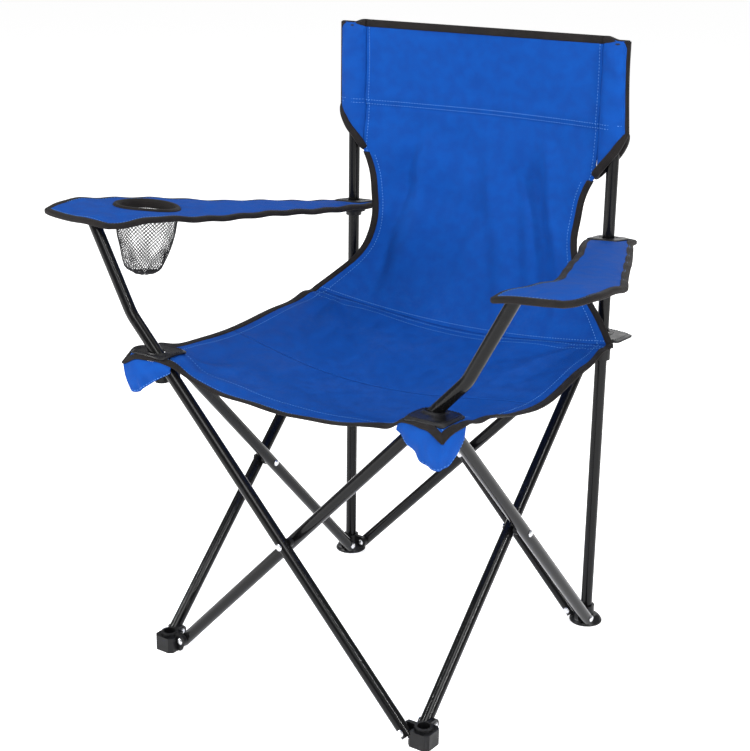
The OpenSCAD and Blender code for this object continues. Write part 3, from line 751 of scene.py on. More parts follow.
@dataclass
class Sling:
    """Seat and back cloth, their sleeves, binding and seams."""

    bones: Skeleton
    fold: Fold
    paint: Finishes
    wing: float = 0.044
    seam_inset: float = 0.046
    hem_out: float = 0.008
    cloth: float = 0.0016
    low_z: float = 0.427
    top_z: float = 0.815
    sleeve_half: float = 0.0210
    sleeve_low: float = 0.635
    band_low: float = 0.700
    tape_w: float = 0.0105
    tape_h: float = 0.0036
    split: float = 0.4999
    pad_radius: float = 0.042
    tip_drop: float = 0.012
    left_slimmer: float = 0.0085

    def seat_height(self, x: Array, y: Array) -> Array:
        """Height of the seat cloth at a place in plan.

        A level rim less a parabola across whose depth changes along the seat. The side edges
        sag, damped ripples run out from the corners, the cloth lies level over each front hub,
        and the front tips hang down.
        """
        c = self.bones.corner
        hem, seam = -(c + self.hem_out), c - self.seam_inset
        u = np.clip(x / (c + self.wing - 0.003), -1.02, 1.02)
        v = np.clip((y - hem) / (seam - hem), -0.08, 1)
        z = (self.bones.seat - 0.004 + 0.010 * v**2 - 0.009 * np.sin(math.pi * np.clip(v, 0, 1))
             - (1 - u**2) * (0.034 * (1 - v) + 0.020 * v + 0.014 * np.sin(math.pi * np.clip(v, 0, 1))))
        z = z + 0.010 * bell(np.abs(x), c - 0.012, 0.042) * bell(y, -c, 0.050)
        rim = np.abs(u) ** 5
        left, right = rim * (u > 0), rim * (u < 0)
        z = z - left * 0.0185 * bell(v, 0.53, 0.24)
        z = z - right * 0.007 * bell(v, 0.42, 0.28)
        for side in (-1, 1):
            dx, dy = x - side * c, y + c
            rho, phi = np.hypot(dx, dy), np.arctan2(dy, -side * dx)
            z = z + 0.0026 * np.sin(9 * phi + side) * np.exp(-((rho - 0.085) / 0.045) ** 2)
            dy2 = y - seam
            rho2, phi2 = np.hypot(dx, dy2), np.arctan2(-dy2, -side * dx)
            z = z + 0.0024 * np.sin(8 * phi2) * np.exp(-((rho2 - 0.08) / 0.055) ** 2)
        z = z + 0.0014 * np.sin(19 * x + 6 * y) * np.sin(23 * y - 4 * x + 1.0) * (1 - np.abs(u) ** 4)
        z = z + 0.0006 * np.sin(70 * x + 6 * np.sin(14 * y)) * bell(v, 0.0, 0.10) * (1 - np.abs(u) ** 6)
        pad = np.exp(-((np.hypot(np.abs(x) - c - 0.004, y + c) / self.pad_radius) ** 4))
        z = z + 0.9 * pad * (self.bones.seat - z)
        return z - self.tip_drop * smooth(np.abs(x) - y, 0.462, 0.492)

    def seat_points(self, u: Array, v: Array) -> Array:
        """Seat surface, u across from -1 to 1 and v from the front hem to the seam.

        The hem runs forward at both corners to go round the hubs.
        """
        c = self.bones.corner
        hem, seam = -(c + self.hem_out), c - self.seam_inset
        x = u * (c + self.wing - 0.006 * v)
        reach = 0.025 * smooth(np.abs(u), 0.52, 0.92) * (1 - smooth(v, 0.0, 0.30))
        y = hem + (seam - hem) * v - reach
        x = x - np.sign(u) * 0.007 * (1 - smooth(v, 0.0, 0.07)) * smooth(np.abs(u), 0.93, 1.0)
        return np.stack([x, y, self.seat_height(x, y)], -1)

    def rim(self, height: Array) -> tuple[Array, Array]:
        """Half width and depth of the back cloth's side edge at a height."""
        z = self.low_z + np.array([0, 0.015, 0.030, 0.045, 0.065, 0.090, 0.120, 0.150, 0.175, 0.193, 0.207,
                                   0.225, 0.260, 0.320, 0.388])
        half = [0.246, 0.230, 0.214, 0.198, 0.182, 0.171, 0.166, 0.168, 0.173, 0.180, 0.1865,
                0.187, 0.187, 0.187, 0.187]
        deep = [0.162, 0.173, 0.182, 0.188, 0.193, 0.196, 0.198, 0.200, 0.200, 0.200, 0.200,
                0.202, 0.206, 0.207, 0.207]
        both = ease_curve(z, np.stack([half, deep], 1), np.maximum(height.ravel(), self.low_z))
        return both[:, 0].reshape(height.shape), both[:, 1].reshape(height.shape)

    def back_points(self, u: Array, w: Array) -> Array:
        """Back surface, u across and w from the seam to the top.

        The side edges follow rim(); between them the cloth bellies to the rear by a parabola,
        with upright folds that fade toward the head band and slack pulls below it.
        """
        rise = self.low_z + (self.top_z - self.low_z) * w
        half, deep = self.rim(rise)
        x = u * half
        h = rise - self.low_z
        z = rise - (1 - u**2) * 0.020 * (1 - np.clip(w, 0, 1)) ** 4
        y = deep + (1 - u**2) * 0.024 * np.sin(math.pi * np.clip(w * 1.02, 0, 1)) ** 0.8
        low = smooth(h, 0.0, 0.06) * (1 - smooth(h, 0.16, 0.27))
        for at, width, high in ((-0.132, 0.012, 0.0046), (-0.102, 0.017, -0.0042), (-0.060, 0.016, 0.0022),
                                (-0.022, 0.022, 0.0032), (0.030, 0.016, -0.0030), (0.066, 0.012, 0.0024),
                                (0.100, 0.014, 0.0044), (0.130, 0.012, -0.0038)):
            lean = 0.22 * (h - 0.12) * np.sign(at) + 0.004 * np.sin(40 * h + 60 * at)
            y = y + 1.5 * high * bell(x + lean, at, width) * low
        mid = smooth(h, 0.10, 0.16) * (1 - smooth(h, 0.235, 0.262))
        y = y + 0.0028 * np.sin(34 * x + 22 * h + 1.3) * np.sin(46 * h - 9 * x) * mid
        y = y + 0.0022 * bell(x - 0.5 * (h - 0.20), -0.115, 0.012) * mid
        y = y - 0.0022 * bell(x + 0.45 * (h - 0.20), 0.118, 0.013) * mid
        up = smooth(h, 0.262, 0.285) * (1 - smooth(h, 0.36, 0.388))
        y = y + 0.0011 * np.sin(30 * x + 5 * h) * up * (1 - u**4)
        y = y + 0.0012 * np.sin(55 * h + 2) * bell(np.abs(x), 0.165, 0.02) * up
        y = y - 0.0011 * smooth(rise, self.band_low - 0.003, self.band_low + 0.001)
        y = y - 0.0010 * bell(rise, self.band_low + 0.012, 0.008)
        y = y + 0.0008 * bell(rise, self.band_low - 0.004, 0.003)
        return np.stack([x, y, z], -1)

    def sheet_piece(self, name: str, grid: Array,
                    hide: tuple[str, ...]) -> bpy.types.Object:
        """Turn a grid into a cloth sheet that stands for CAD solids, and hide them."""
        rows, cols = grid.shape[:2]
        obj = mesh_object(name, grid.reshape(-1, 3), quads(rows, cols), metric_uv(grid))
        thicken(obj, self.cloth)
        self.paint.dress(obj, self.paint.blue, "blue_cloth")
        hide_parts(*hide)
        return obj

    def edge_tape(self, name: str, grid: Array, edge: str, bulge: float = 0.0) -> bpy.types.Object:
        """Binding tape along one side of a grid: start, end, left or right."""
        normal = grid_normals(grid)
        pick = {"start": (grid[0], grid[1] - grid[0], normal[0]),
                "end": (grid[-1], grid[-2] - grid[-1], normal[-1]),
                "left": (grid[:, 0], grid[:, 1] - grid[:, 0], normal[:, 0]),
                "right": (grid[:, -1], grid[:, -2] - grid[:, -1], normal[:, -1])}
        line, inward, across = pick[edge]
        obj = strip(name, line, unit(inward), across, self.tape_w, self.tape_h + bulge, self.tape_w * 0.36)
        return self.paint.dress(obj, self.paint.tape, "binding_tape")

    def build_seat(self) -> None:
        """Make both halves of the seat with their tape and thread."""
        for half, v0, v1 in (("front", 0.0, self.split), ("rear", self.split, 1.0)):
            u, v = np.meshgrid(np.linspace(-1, 1, 130), np.linspace(v0, v1, 60))
            grid = self.seat_points(u, v)
            rows, cols = grid.shape[:2]
            faces = quads(rows, cols)
            mid = grid.reshape(-1, 3)[faces].mean(1)
            keep = np.ones(len(faces), bool)
            for side in Side:
                for spot in (self.bones.post_line(side, self.bones.seat),
                             np.array([side.value * self.bones.corner, self.bones.corner, 0])):
                    keep &= np.hypot(mid[:, 0] - spot[0], mid[:, 1] - spot[1]) > 0.019
            obj = mesh_object(f"seat_{half}", grid.reshape(-1, 3), faces[keep], metric_uv(grid))
            thicken(obj, self.cloth)
            self.paint.dress(obj, self.paint.blue, "blue_cloth")
            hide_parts(f"seat_cloth_{half}")
            tapes = [self.edge_tape(f"seat_{half}_tape_{s}", grid, s) for s in ("left", "right")]
            if half == "front":
                tapes.append(self.edge_tape("seat_hem_tape", grid, "start"))
            normal = grid_normals(grid)
            lines = []
            for k in (5, 124):
                lines.append((grid[:, k], normal[:, k]))
            if half == "front":
                lines += [(grid[r], normal[r]) for r in (3, 13)]
            else:
                lines += [(grid[r], normal[r]) for r in (-3, -6)]
            up = [(p + n * self.cloth * 0.5 * np.sign(n[:, 2:]), n * np.sign(n[:, 2:])) for p, n in lines]
            sewn = stitches(f"seat_{half}_thread", up)
            self.paint.dress(sewn, self.paint.thread, "blue_cloth")
            for piece in (obj, *tapes, sewn):
                self.fold.seat(piece, half)

    def build_back(self) -> None:
        """Make the back cloth, its tape and its seams."""
        u, w = np.meshgrid(np.linspace(-1, 1, 140), np.linspace(-0.012, 1, 150))
        grid = self.back_points(u, w)
        obj = self.sheet_piece("back_panel", grid,
                               ("back_cloth",))
        parts = [self.edge_tape("back_top_tape", grid, "end")]
        below = int((self.sleeve_low - self.low_z) / (self.top_z - self.low_z) * 149)
        for side in ("left", "right"):
            parts.append(self.edge_tape(f"back_tape_{side}", grid[: below + 1], side))
        normal = grid_normals(grid)
        front = normal * np.where(normal[..., 1:2] > 0, -1.0, 1.0)
        rows = [round((z - self.low_z) / (self.top_z - self.low_z) * 149)
                for z in (self.band_low, self.band_low + 0.005)]
        lines = [(grid[r] + front[r] * self.cloth * 0.5, front[r]) for r in rows]
        lines += [(grid[r] + front[r] * self.cloth * 0.5, front[r]) for r in (3,)]
        lines += [(grid[below:, k] + front[below:, k] * self.cloth * 0.5, front[below:, k]) for k in (2, 137)]
        lines += [(grid[:below, k] + front[:below, k] * self.cloth * 0.5, front[:below, k]) for k in (6, 133)]
        sewn = stitches("back_thread", lines)
        self.paint.dress(sewn, self.paint.thread, "blue_cloth")
        for piece in (obj, *parts, sewn):
            self.fold.back(piece)

    def mouth(self, out: Array) -> Array:
        """Height of the sleeve's lower edge; out runs from 0 at the panel to 1 at the outer edge."""
        knots = np.array([0.0, 0.18, 0.38, 0.60, 0.80, 0.93, 1.0])
        rise = np.array([0.0, 0.009, 0.019, 0.029, 0.040, 0.050, 0.058])
        return self.sleeve_low + ease_curve(knots, rise[:, None], out.ravel()).reshape(out.shape)

    def sleeve_points(self, side: Side, t: Array, w: Array) -> Array:
        """Sleeve round an upright: a flat lens, pinched at the top, whose mouth sweeps to the panel.

        The outer half of the left sleeve narrows toward the top.
        """
        c = self.bones.corner
        out = (1 + np.cos(t)) / 2
        low = self.mouth(out)
        top = self.top_z - 0.004 * smooth(out, 0.1, 0.5)
        z = low + (top - low) * w
        shut = smooth(z, self.top_z - 0.016, self.top_z - 0.002)
        depth = 0.0104 * (1 - 0.62 * shut)
        wave = np.sin(t)
        lens = np.sign(wave) * np.abs(wave) ** 0.9
        pull = 0.0007 * np.sin(70 * z + 2 * t) + 0.0006 * np.sin(160 * z + 5 * out)
        slimmer = self.left_slimmer * smooth(z, 0.62, 0.79) if side is Side.LEFT else 0.0
        half = self.sleeve_half - slimmer * (np.cos(t) > 0)
        x = side.value * (c + half * np.cos(t))
        return np.stack([x, c + (depth + pull) * lens - 0.0012 * (1 - out), z], -1)

    def build_sleeves(self) -> None:
        """Make the sleeves with the tape over their top, outer edge and mouth."""
        for side, body in ((Side.RIGHT, "rear_right_leg"), (Side.LEFT, "rear_left_leg")):
            t, w = np.meshgrid(np.linspace(0, 2 * math.pi, 81)[:-1], np.linspace(0, 1, 90))
            grid = self.sleeve_points(side, t, w)
            rows, cols = grid.shape[:2]
            girth = np.linspace(0, 0.09, cols)
            uv = np.stack(np.broadcast_arrays(girth[None], grid[..., 2]), -1).reshape(-1, 2)
            obj = mesh_object(f"sleeve_{side.word}", grid.reshape(-1, 3),
                              quads(rows, cols, wrap_cols=True), uv)
            thicken(obj, 0.0009)
            self.paint.dress(obj, self.paint.blue, "blue_cloth")
            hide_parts(f"back_sleeve_{side.word}")
            pieces = [self.sleeve_top(side)]
            up = self.sleeve_points(side, np.zeros(50), np.linspace(0, 1, 50))
            for word, first in (("front", 1.0), ("rear", -1.0)):
                bend = self.sleeve_points(side, np.linspace(-first * math.pi, 0, 40), np.zeros(40))
                line = np.vstack([bend[:-1], up[1:]]) if word == "front" else bend
                line = even(line, 110)
                tangent = unit(np.gradient(line, axis=0))
                across = np.broadcast_to(np.array([0.0, 1.0, 0.0]), line.shape)
                inward = unit(np.cross(tangent, across)) * side.value
                middle = np.array([side.value * 0.205, 0.208, 0.76])
                inward = inward * np.sign((inward * (middle - line)).sum(1).mean())
                tape = strip(f"sleeve_{word}_tape_{side.word}", line, inward, unit(np.cross(inward, tangent)),
                             0.0105, 0.0080, 0.0026)
                pieces.append(self.paint.dress(tape, self.paint.tape, "binding_tape"))
            around_band = self.sleeve_points(side, np.linspace(-math.pi + 0.25, -0.35, 30), np.full(30, 0.37))
            around_band[:, 2] = self.band_low
            lines = []
            for lift in (0.0, 0.005):
                path = around_band + np.array([0, -0.0009, lift])
                lines.append((path, np.broadcast_to(np.array([0.0, -1.0, 0.0]), path.shape)))
            sewn = stitches(f"sleeve_thread_{side.word}", lines)
            pieces.append(self.paint.dress(sewn, self.paint.thread, "blue_cloth"))
            for piece in (obj, *pieces):
                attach(piece, body)

    def sleeve_top(self, side: Side) -> bpy.types.Object:
        """Tape folded over a sleeve's top edge."""
        line = self.sleeve_points(side, np.linspace(-math.pi, 0, 40), np.ones(40))
        back = self.sleeve_points(side, np.linspace(math.pi, 0, 40), np.ones(40))
        line = (line + back) / 2
        flat = lambda v: np.broadcast_to(np.array(v, float), line.shape)
        cap = strip(f"sleeve_top_tape_{side.word}", line, flat((0, 0, -1)), flat((0, 1, 0)),
                    self.tape_w, 0.0098, self.tape_w * 0.36)
        return self.paint.dress(cap, self.paint.tape, "binding_tape")


# ------------------------------------------------------------------ corner trim


@dataclass
class CornerTrim:
    """Vinyl corner patches with their tube holes and the cloth pockets under the front corners."""

    bones: Skeleton
    sling: Sling
    fold: Fold
    paint: Finishes
    half_x: float = 0.0285
    half_y: float = 0.0255
    thick: float = 0.0018

    def outline(self, angle: Array) -> Array:
        """Rounded square outline in polar form: superellipse of exponent 7."""
        c, s = np.abs(np.cos(angle)), np.abs(np.sin(angle))
        radius = ((c / self.half_x) ** 7 + (s / self.half_y) ** 7) ** (-1 / 7)
        return np.stack([radius * np.cos(angle), radius * np.sin(angle)], -1)

    def patch(self, name: str, centre: Array, hole: Array, hole_size: tuple[float, float],
              height: Callable[[Array, Array], Array]) -> tuple[bpy.types.Object, bpy.types.Object, Array]:
        """A patch from its hole to its outline, and its thread.

        Args:
            name: piece name.
            centre: middle of the outline in plan.
            hole: middle of the hole in plan.
            hole_size: half sizes of the hole.
            height: height of the cloth beneath at a place in plan.

        Returns:
            The patch, its thread, and its grid.
        """
        angle, part = np.meshgrid(np.linspace(0, 2 * math.pi, 129)[:-1], np.linspace(0, 1, 18))
        rim = self.outline(angle) + centre[:2]
        inner = hole[:2] + np.stack([hole_size[0] * np.cos(angle), hole_size[1] * np.sin(angle)], -1)
        flat = inner + (rim - inner) * part[..., None]
        z = (self.stiff(height(flat[..., 0], flat[..., 1])) + 0.0024 + 0.0022 * bell(part, 0, 0.14)
             + 0.0006 * bell(part, 0.80, 0.05) - 0.0012 * smooth(part, 0.86, 1.0))
        grid = np.concatenate([flat, z[..., None]], -1)
        faces = quads(*grid.shape[:2], wrap_cols=True)
        obj = mesh_object(name, grid.reshape(-1, 3), faces, flat.reshape(-1, 2))
        thicken(obj, self.thick)
        self.paint.dress(obj, self.paint.vinyl, "patch_vinyl")
        ring = np.concatenate([grid[14], grid[14][:1]])
        eye = np.concatenate([grid[3], grid[3][:1]])
        up = np.array([0.0, 0.0, 1.0])
        lines = [(r + up * self.thick * 0.62, np.broadcast_to(up, r.shape)) for r in (ring, eye)]
        sewn = stitches(f"{name}_thread", lines, 0.0040, 0.0028, 0.0009)
        self.paint.dress(sewn, self.paint.dark_thread, "binding_tape")
        return obj, sewn, grid

    def stiff(self, level: Array) -> Array:
        """Height of a patch that bends half as much as the cloth beneath, never below it."""
        return np.maximum(level, 0.5 * (level + level.max()))

    def build(self) -> None:
        """Make the four patches and the two pockets."""
        c = self.bones.corner
        for side in Side:
            s = side.value
            spot = self.bones.post_line(side, self.bones.seat + 0.003)
            obj, sewn, grid = self.patch(f"patch_front_{side.word}_cloth", np.array([s * (c + 0.004), -c]),
                                         spot, (0.0125, 0.0093), self.sling.seat_height)
            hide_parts(f"patch_front_{side.word}")
            for piece in (obj, sewn):
                self.fold.corner(piece, f"{side.word}_hub", side)
            level = lambda x, y: self.bones.seat + 0.002 - 0.10 * np.abs(x - s * c) - 0.03 * (y - c)
            obj, sewn, grid = self.patch(f"patch_rear_{side.word}_cloth", np.array([s * (c + 0.006), c]),
                                         np.array([s * c, c]), (0.0092, 0.0092), level)
            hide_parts(f"patch_rear_{side.word}")
            for piece in (obj, sewn):
                self.fold.corner(piece, f"{side.word}_slider_hub", side, 0.5)
            self.pocket(side)

    def area(self, grid: Array) -> float:
        """Area of a closed ring grid."""
        return grid_area(np.concatenate([grid, grid[:, :1]], 1))

    def pocket(self, side: Side) -> None:
        """Cloth that folds down round a front hub: a front flap and a side flap, ruled from the hem down."""
        s = side.value
        across = np.concatenate([np.linspace(0.70, 1, 14), np.ones(8)])
        back = np.concatenate([np.zeros(14), np.linspace(0.012, 0.085, 8)])
        tucked = np.array([-0.001, 0.001, -0.002])
        top = self.sling.seat_points(s * across, back) * np.array([s, 1, 1]) + tucked
        low = np.array([[0.174, -0.228, 0.404], [0.200, -0.234, 0.388], [0.229, -0.237, 0.370],
                        [0.240, -0.232, 0.371], [0.248, -0.220, 0.385], [0.250, -0.205, 0.403]])
        a, b = path_curve(top, 90), path_curve(low, 90)
        a[:, 0] *= s
        b[:, 0] *= s
        v = np.linspace(0, 1, 30)[:, None, None]
        grid = a[None] * (1 - v) + b[None] * v
        t = np.linspace(0, 1, 90)[None, :]
        deep = v[..., 0]
        swell = 0.004 * np.sin(math.pi * deep) * np.sin(math.pi * t) ** 0.5
        crease = 0.0035 * bell(t, 0.42 + 0.05 * deep, 0.05) * deep
        grid[..., 1] -= swell * (1 - smooth(t, 0.60, 0.72)) - crease
        grid[..., 0] += s * (swell * smooth(t, 0.60, 0.75) - 0.003 * bell(t, 0.66, 0.03) * deep)
        grid[..., 1] -= 0.0016 * np.sin(9 * math.pi * t + 3 * deep) * deep * (1 - smooth(t, 0.5, 0.7))
        name = f"pocket_{side.word}_cloth"
        obj = mesh_object(name, grid.reshape(-1, 3), quads(30, 90), metric_uv(grid))
        thicken(obj, self.sling.cloth)
        self.paint.dress(obj, self.paint.blue, "blue_cloth")
        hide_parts(f"pocket_{side.word}")
        normal = grid_normals(grid)
        out = normal * np.sign((normal * np.array([s * 0.5, -1.0, 0])).sum(-1, keepdims=True))
        sewn = stitches(f"pocket_{side.word}_thread", [(grid[-3] + out[-3] * 0.0009, out[-3])])
        self.paint.dress(sewn, self.paint.thread, "blue_cloth")
        for piece in (obj, sewn):
            self.fold.corner(piece, f"{side.word}_hub", side, 0.4)


# ------------------------------------------------------------------ armrests


@dataclass
class Armrest:
    """One padded armrest, its tape, thread and vinyl eye."""

    side: Side
    bones: Skeleton
    fold: Fold
    paint: Finishes
    rear_z: float = 0.546
    front_z: float = 0.586
    thick: float = 0.009
    roll: float = 0.0
    cup: tuple[float, float] | None = None
    cup_r: float = 0.0405
    inner: tuple = ((0.178, 0.246), (0.172, 0.215), (0.176, 0.150), (0.196, 0.040), (0.222, -0.070),
                    (0.246, -0.160), (0.262, -0.205), (0.276, -0.226))
    outer: tuple = ((0.236, 0.244), (0.242, 0.210), (0.258, 0.140), (0.308, 0.045), (0.366, -0.045),
                    (0.400, -0.115), (0.410, -0.170), (0.400, -0.216))

    def plane(self, y: Array) -> Array:
        """Height of the pad's underside at a depth."""
        c = self.bones.corner
        return self.rear_z + (c - y) / (2 * c) * (self.front_z - self.rear_z)

    def height(self, x: Array, y: Array) -> Array:
        """Height of the pad's middle layer in plan.

        The tilted plane, rolled so that the inner edge hangs, with its front end drawn down over
        the post and a lump over the post plug.
        """
        inner, outer = np.array(self.inner)[::-1], np.array(self.outer)[::-1]
        a, b = np.interp(y, inner[:, 1], inner[:, 0]), np.interp(y, outer[:, 1], outer[:, 0])
        across = np.clip((2 * np.abs(x) - a - b) / (b - a), -1.2, 1.2)
        c = self.bones.corner
        z = self.plane(y) + self.thick / 2
        z = z + self.roll * (across - 0.8) / 1.8 * (1 - smooth(y, -0.12, 0.06))
        tip = np.array([self.side.value * 0.307, -c + self.side.value * self.bones.offset])
        away = np.hypot(x - tip[0], y - tip[1])
        front = 1 - smooth(y, -c - 0.034, -c + 0.060)
        z = z - 0.0085 * front * (1 - 0.45 * bell(away, 0, 0.020)) - 0.0030 * front * np.abs(across) ** 2
        sag = 0.002 * np.sin(math.pi * np.clip((c - y) / (2 * c), 0, 1))
        z = z + 0.0016 * np.sin(24 * y + 3) * np.sin(31 * x) - sag
        return z + 0.0007 * np.sin(120 * y + 30 * x) * smooth(np.abs(across), 0.55, 0.95)

    def plan(self, s: Array, u: Array) -> Array:
        """Plan position: inner and outer edge curves joined across, with a bowed front end."""
        a = self.edge(self.inner, s.ravel()).reshape(*s.shape, 2)
        b = self.edge(self.outer, s.ravel()).reshape(*s.shape, 2)
        t = (u[..., None] + 1) / 2
        flat = a * (1 - t) + b * t
        flat[..., 1] -= 0.014 * (1 - u**2) ** 0.7 * smooth(s, 0.88, 1.0)
        flat[..., 0] *= self.side.value
        return flat

    def edge(self, knots: tuple, s: Array) -> Array:
        """A long edge of the pad at even arc length."""
        points = np.array(knots)
        step = np.concatenate([[0], np.cumsum(np.linalg.norm(np.diff(points, axis=0), axis=1))])
        fine = ease_curve(step / step[-1], points, np.linspace(0, 1, 500))
        run = np.concatenate([[0], np.cumsum(np.linalg.norm(np.diff(fine, axis=0), axis=1))])
        return np.stack([np.interp(s * run[-1], run, fine[:, k]) for k in (0, 1)], 1)

    def layer(self, s: Array, u: Array, top: float) -> Array:
        """One face of the pad: the middle layer plus a crown that thins to the rim."""
        flat = self.plan(s, u)
        edge = (1 - u**2) * (1 - (2 * s - 1) ** 12)
        crown = 0.5 * self.thick * (0.42 + 0.58 * np.sqrt(np.clip(edge, 0, 1)))
        return np.concatenate([flat, (self.height(flat[..., 0], flat[..., 1]) + top * crown)[..., None]], -1)

    def holes(self, mid: Array, hole_cup: float, hole_post: float) -> Array:
        """Which face centres lie clear of the cup hole and the upright's eye."""
        c = self.bones.corner
        keep = np.hypot(mid[:, 0] - self.side.value * c, mid[:, 1] - c) > hole_post
        if self.cup:
            keep &= np.hypot(mid[:, 0] - self.cup[0], mid[:, 1] - self.cup[1]) > hole_cup
        return keep

    def build(self) -> None:
        """Make the pad and its trim."""
        u, s = np.meshgrid(np.linspace(-1, 1, 60), np.linspace(0, 1, 170))
        top, low = self.layer(s, u, 1.0), self.layer(s, u, -1.0)
        rows, cols = u.shape
        n = rows * cols
        verts = np.vstack([top.reshape(-1, 3), low.reshape(-1, 3)])
        cell = quads(rows, cols)
        keep = self.holes(top.reshape(-1, 3)[cell].mean(1), self.cup_r + 0.0025, 0.0125)
        cell = cell[keep]
        ring = np.concatenate([np.arange(cols), np.arange(1, rows) * cols + cols - 1,
                               (rows - 1) * cols + np.arange(cols - 2, -1, -1),
                               np.arange(rows - 2, 0, -1) * cols])
        nxt = np.roll(ring, -1)
        side_faces = np.stack([ring, nxt, nxt + n, ring + n], 1)
        edges = np.vstack([cell[:, [0, 1]], cell[:, [1, 2]], cell[:, [2, 3]], cell[:, [3, 0]]])
        key = np.sort(edges, 1)
        _, first, count = np.unique(key, axis=0, return_index=True, return_counts=True)
        loose = edges[first[count == 1]]
        on_rim = np.isin(loose, ring).all(1)
        wall = loose[~on_rim]
        wall_faces = np.stack([wall[:, 1], wall[:, 0], wall[:, 0] + n, wall[:, 1] + n], 1)
        faces = np.vstack([cell, cell[:, ::-1] + n, side_faces, wall_faces])
        uv = np.vstack([metric_uv(top), metric_uv(low)])
        word = self.side.word
        obj = mesh_object(f"armrest_{word}_pad", verts, faces, uv, tidy=False)
        self.recalc(obj)
        self.paint.dress(obj, self.paint.blue, "blue_cloth")
        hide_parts(f"armrest_{word}")
        mid = (top + low) / 2
        loop = mid.reshape(-1, 3)[ring]
        loop = even(np.vstack([loop, loop[:1]]), 360, closed=True)
        tangent = unit(np.roll(loop, -1, 0) - np.roll(loop, 1, 0))
        across = unit(np.cross(tangent, np.array([0.0, 0.0, 1.0])))
        centre = loop.mean(0)
        nearest = np.sign(((centre - loop) * across).sum(1).mean())
        across = across * nearest
        normal = unit(np.cross(tangent, across))
        tape = strip(f"armrest_{word}_tape", loop, across, normal, 0.011, 0.0075, 0.0036, closed=True)
        self.paint.dress(tape, self.paint.tape, "binding_tape")
        tight = lambda k, m: top[k:-k, m]
        seam = np.concatenate([top[3, 3:-3], tight(3, -4), top[-4, 3:-3][::-1], tight(3, 3)[::-1]])
        up = np.broadcast_to(np.array([0.0, 0.0, 1.0]), seam.shape)
        sewn = stitches(f"armrest_{word}_thread", [(seam + up * 0.0002, up)])
        pieces = [obj, tape, self.eye(), self.paint.dress(sewn, self.paint.thread, "blue_cloth")]
        for piece in pieces:
            self.fold.arm(piece, self.side)

    def recalc(self, obj: bpy.types.Object) -> None:
        """Turn the faces of the closed pad outwards."""
        bm = bmesh.new()
        bm.from_mesh(obj.data)
        loose = [v for v in bm.verts if not v.link_faces]
        bmesh.ops.delete(bm, geom=loose, context="VERTS")
        bmesh.ops.recalc_face_normals(bm, faces=bm.faces)
        bm.to_mesh(obj.data)
        bm.free()

    def eye(self) -> bpy.types.Object:
        """Vinyl patch round the upright: a rounded square with a hole, laid on the pad."""
        c = self.bones.corner
        angle, part = np.meshgrid(np.linspace(0, 2 * math.pi, 65)[:-1], np.linspace(0, 1, 10))
        a, b = np.cos(angle), np.sin(angle)
        box = (np.abs(a) ** 5 + np.abs(b) ** 5) ** -0.2
        radius = 0.0125 + (0.0235 * box - 0.0125) * part
        x, y = self.side.value * c + radius * a, c + radius * b
        z = self.height(x, y) + self.thick * 0.5 + 0.0011 - 0.0016 * smooth(part, 0.8, 1.0)
        grid = np.stack([x, y, z], -1)
        obj = mesh_object(f"armrest_{self.side.word}_eye", grid.reshape(-1, 3),
                          quads(*grid.shape[:2], wrap_cols=True), grid[..., :2].reshape(-1, 2))
        thicken(obj, 0.0016)
        return self.paint.dress(obj, self.paint.vinyl, "patch_vinyl")


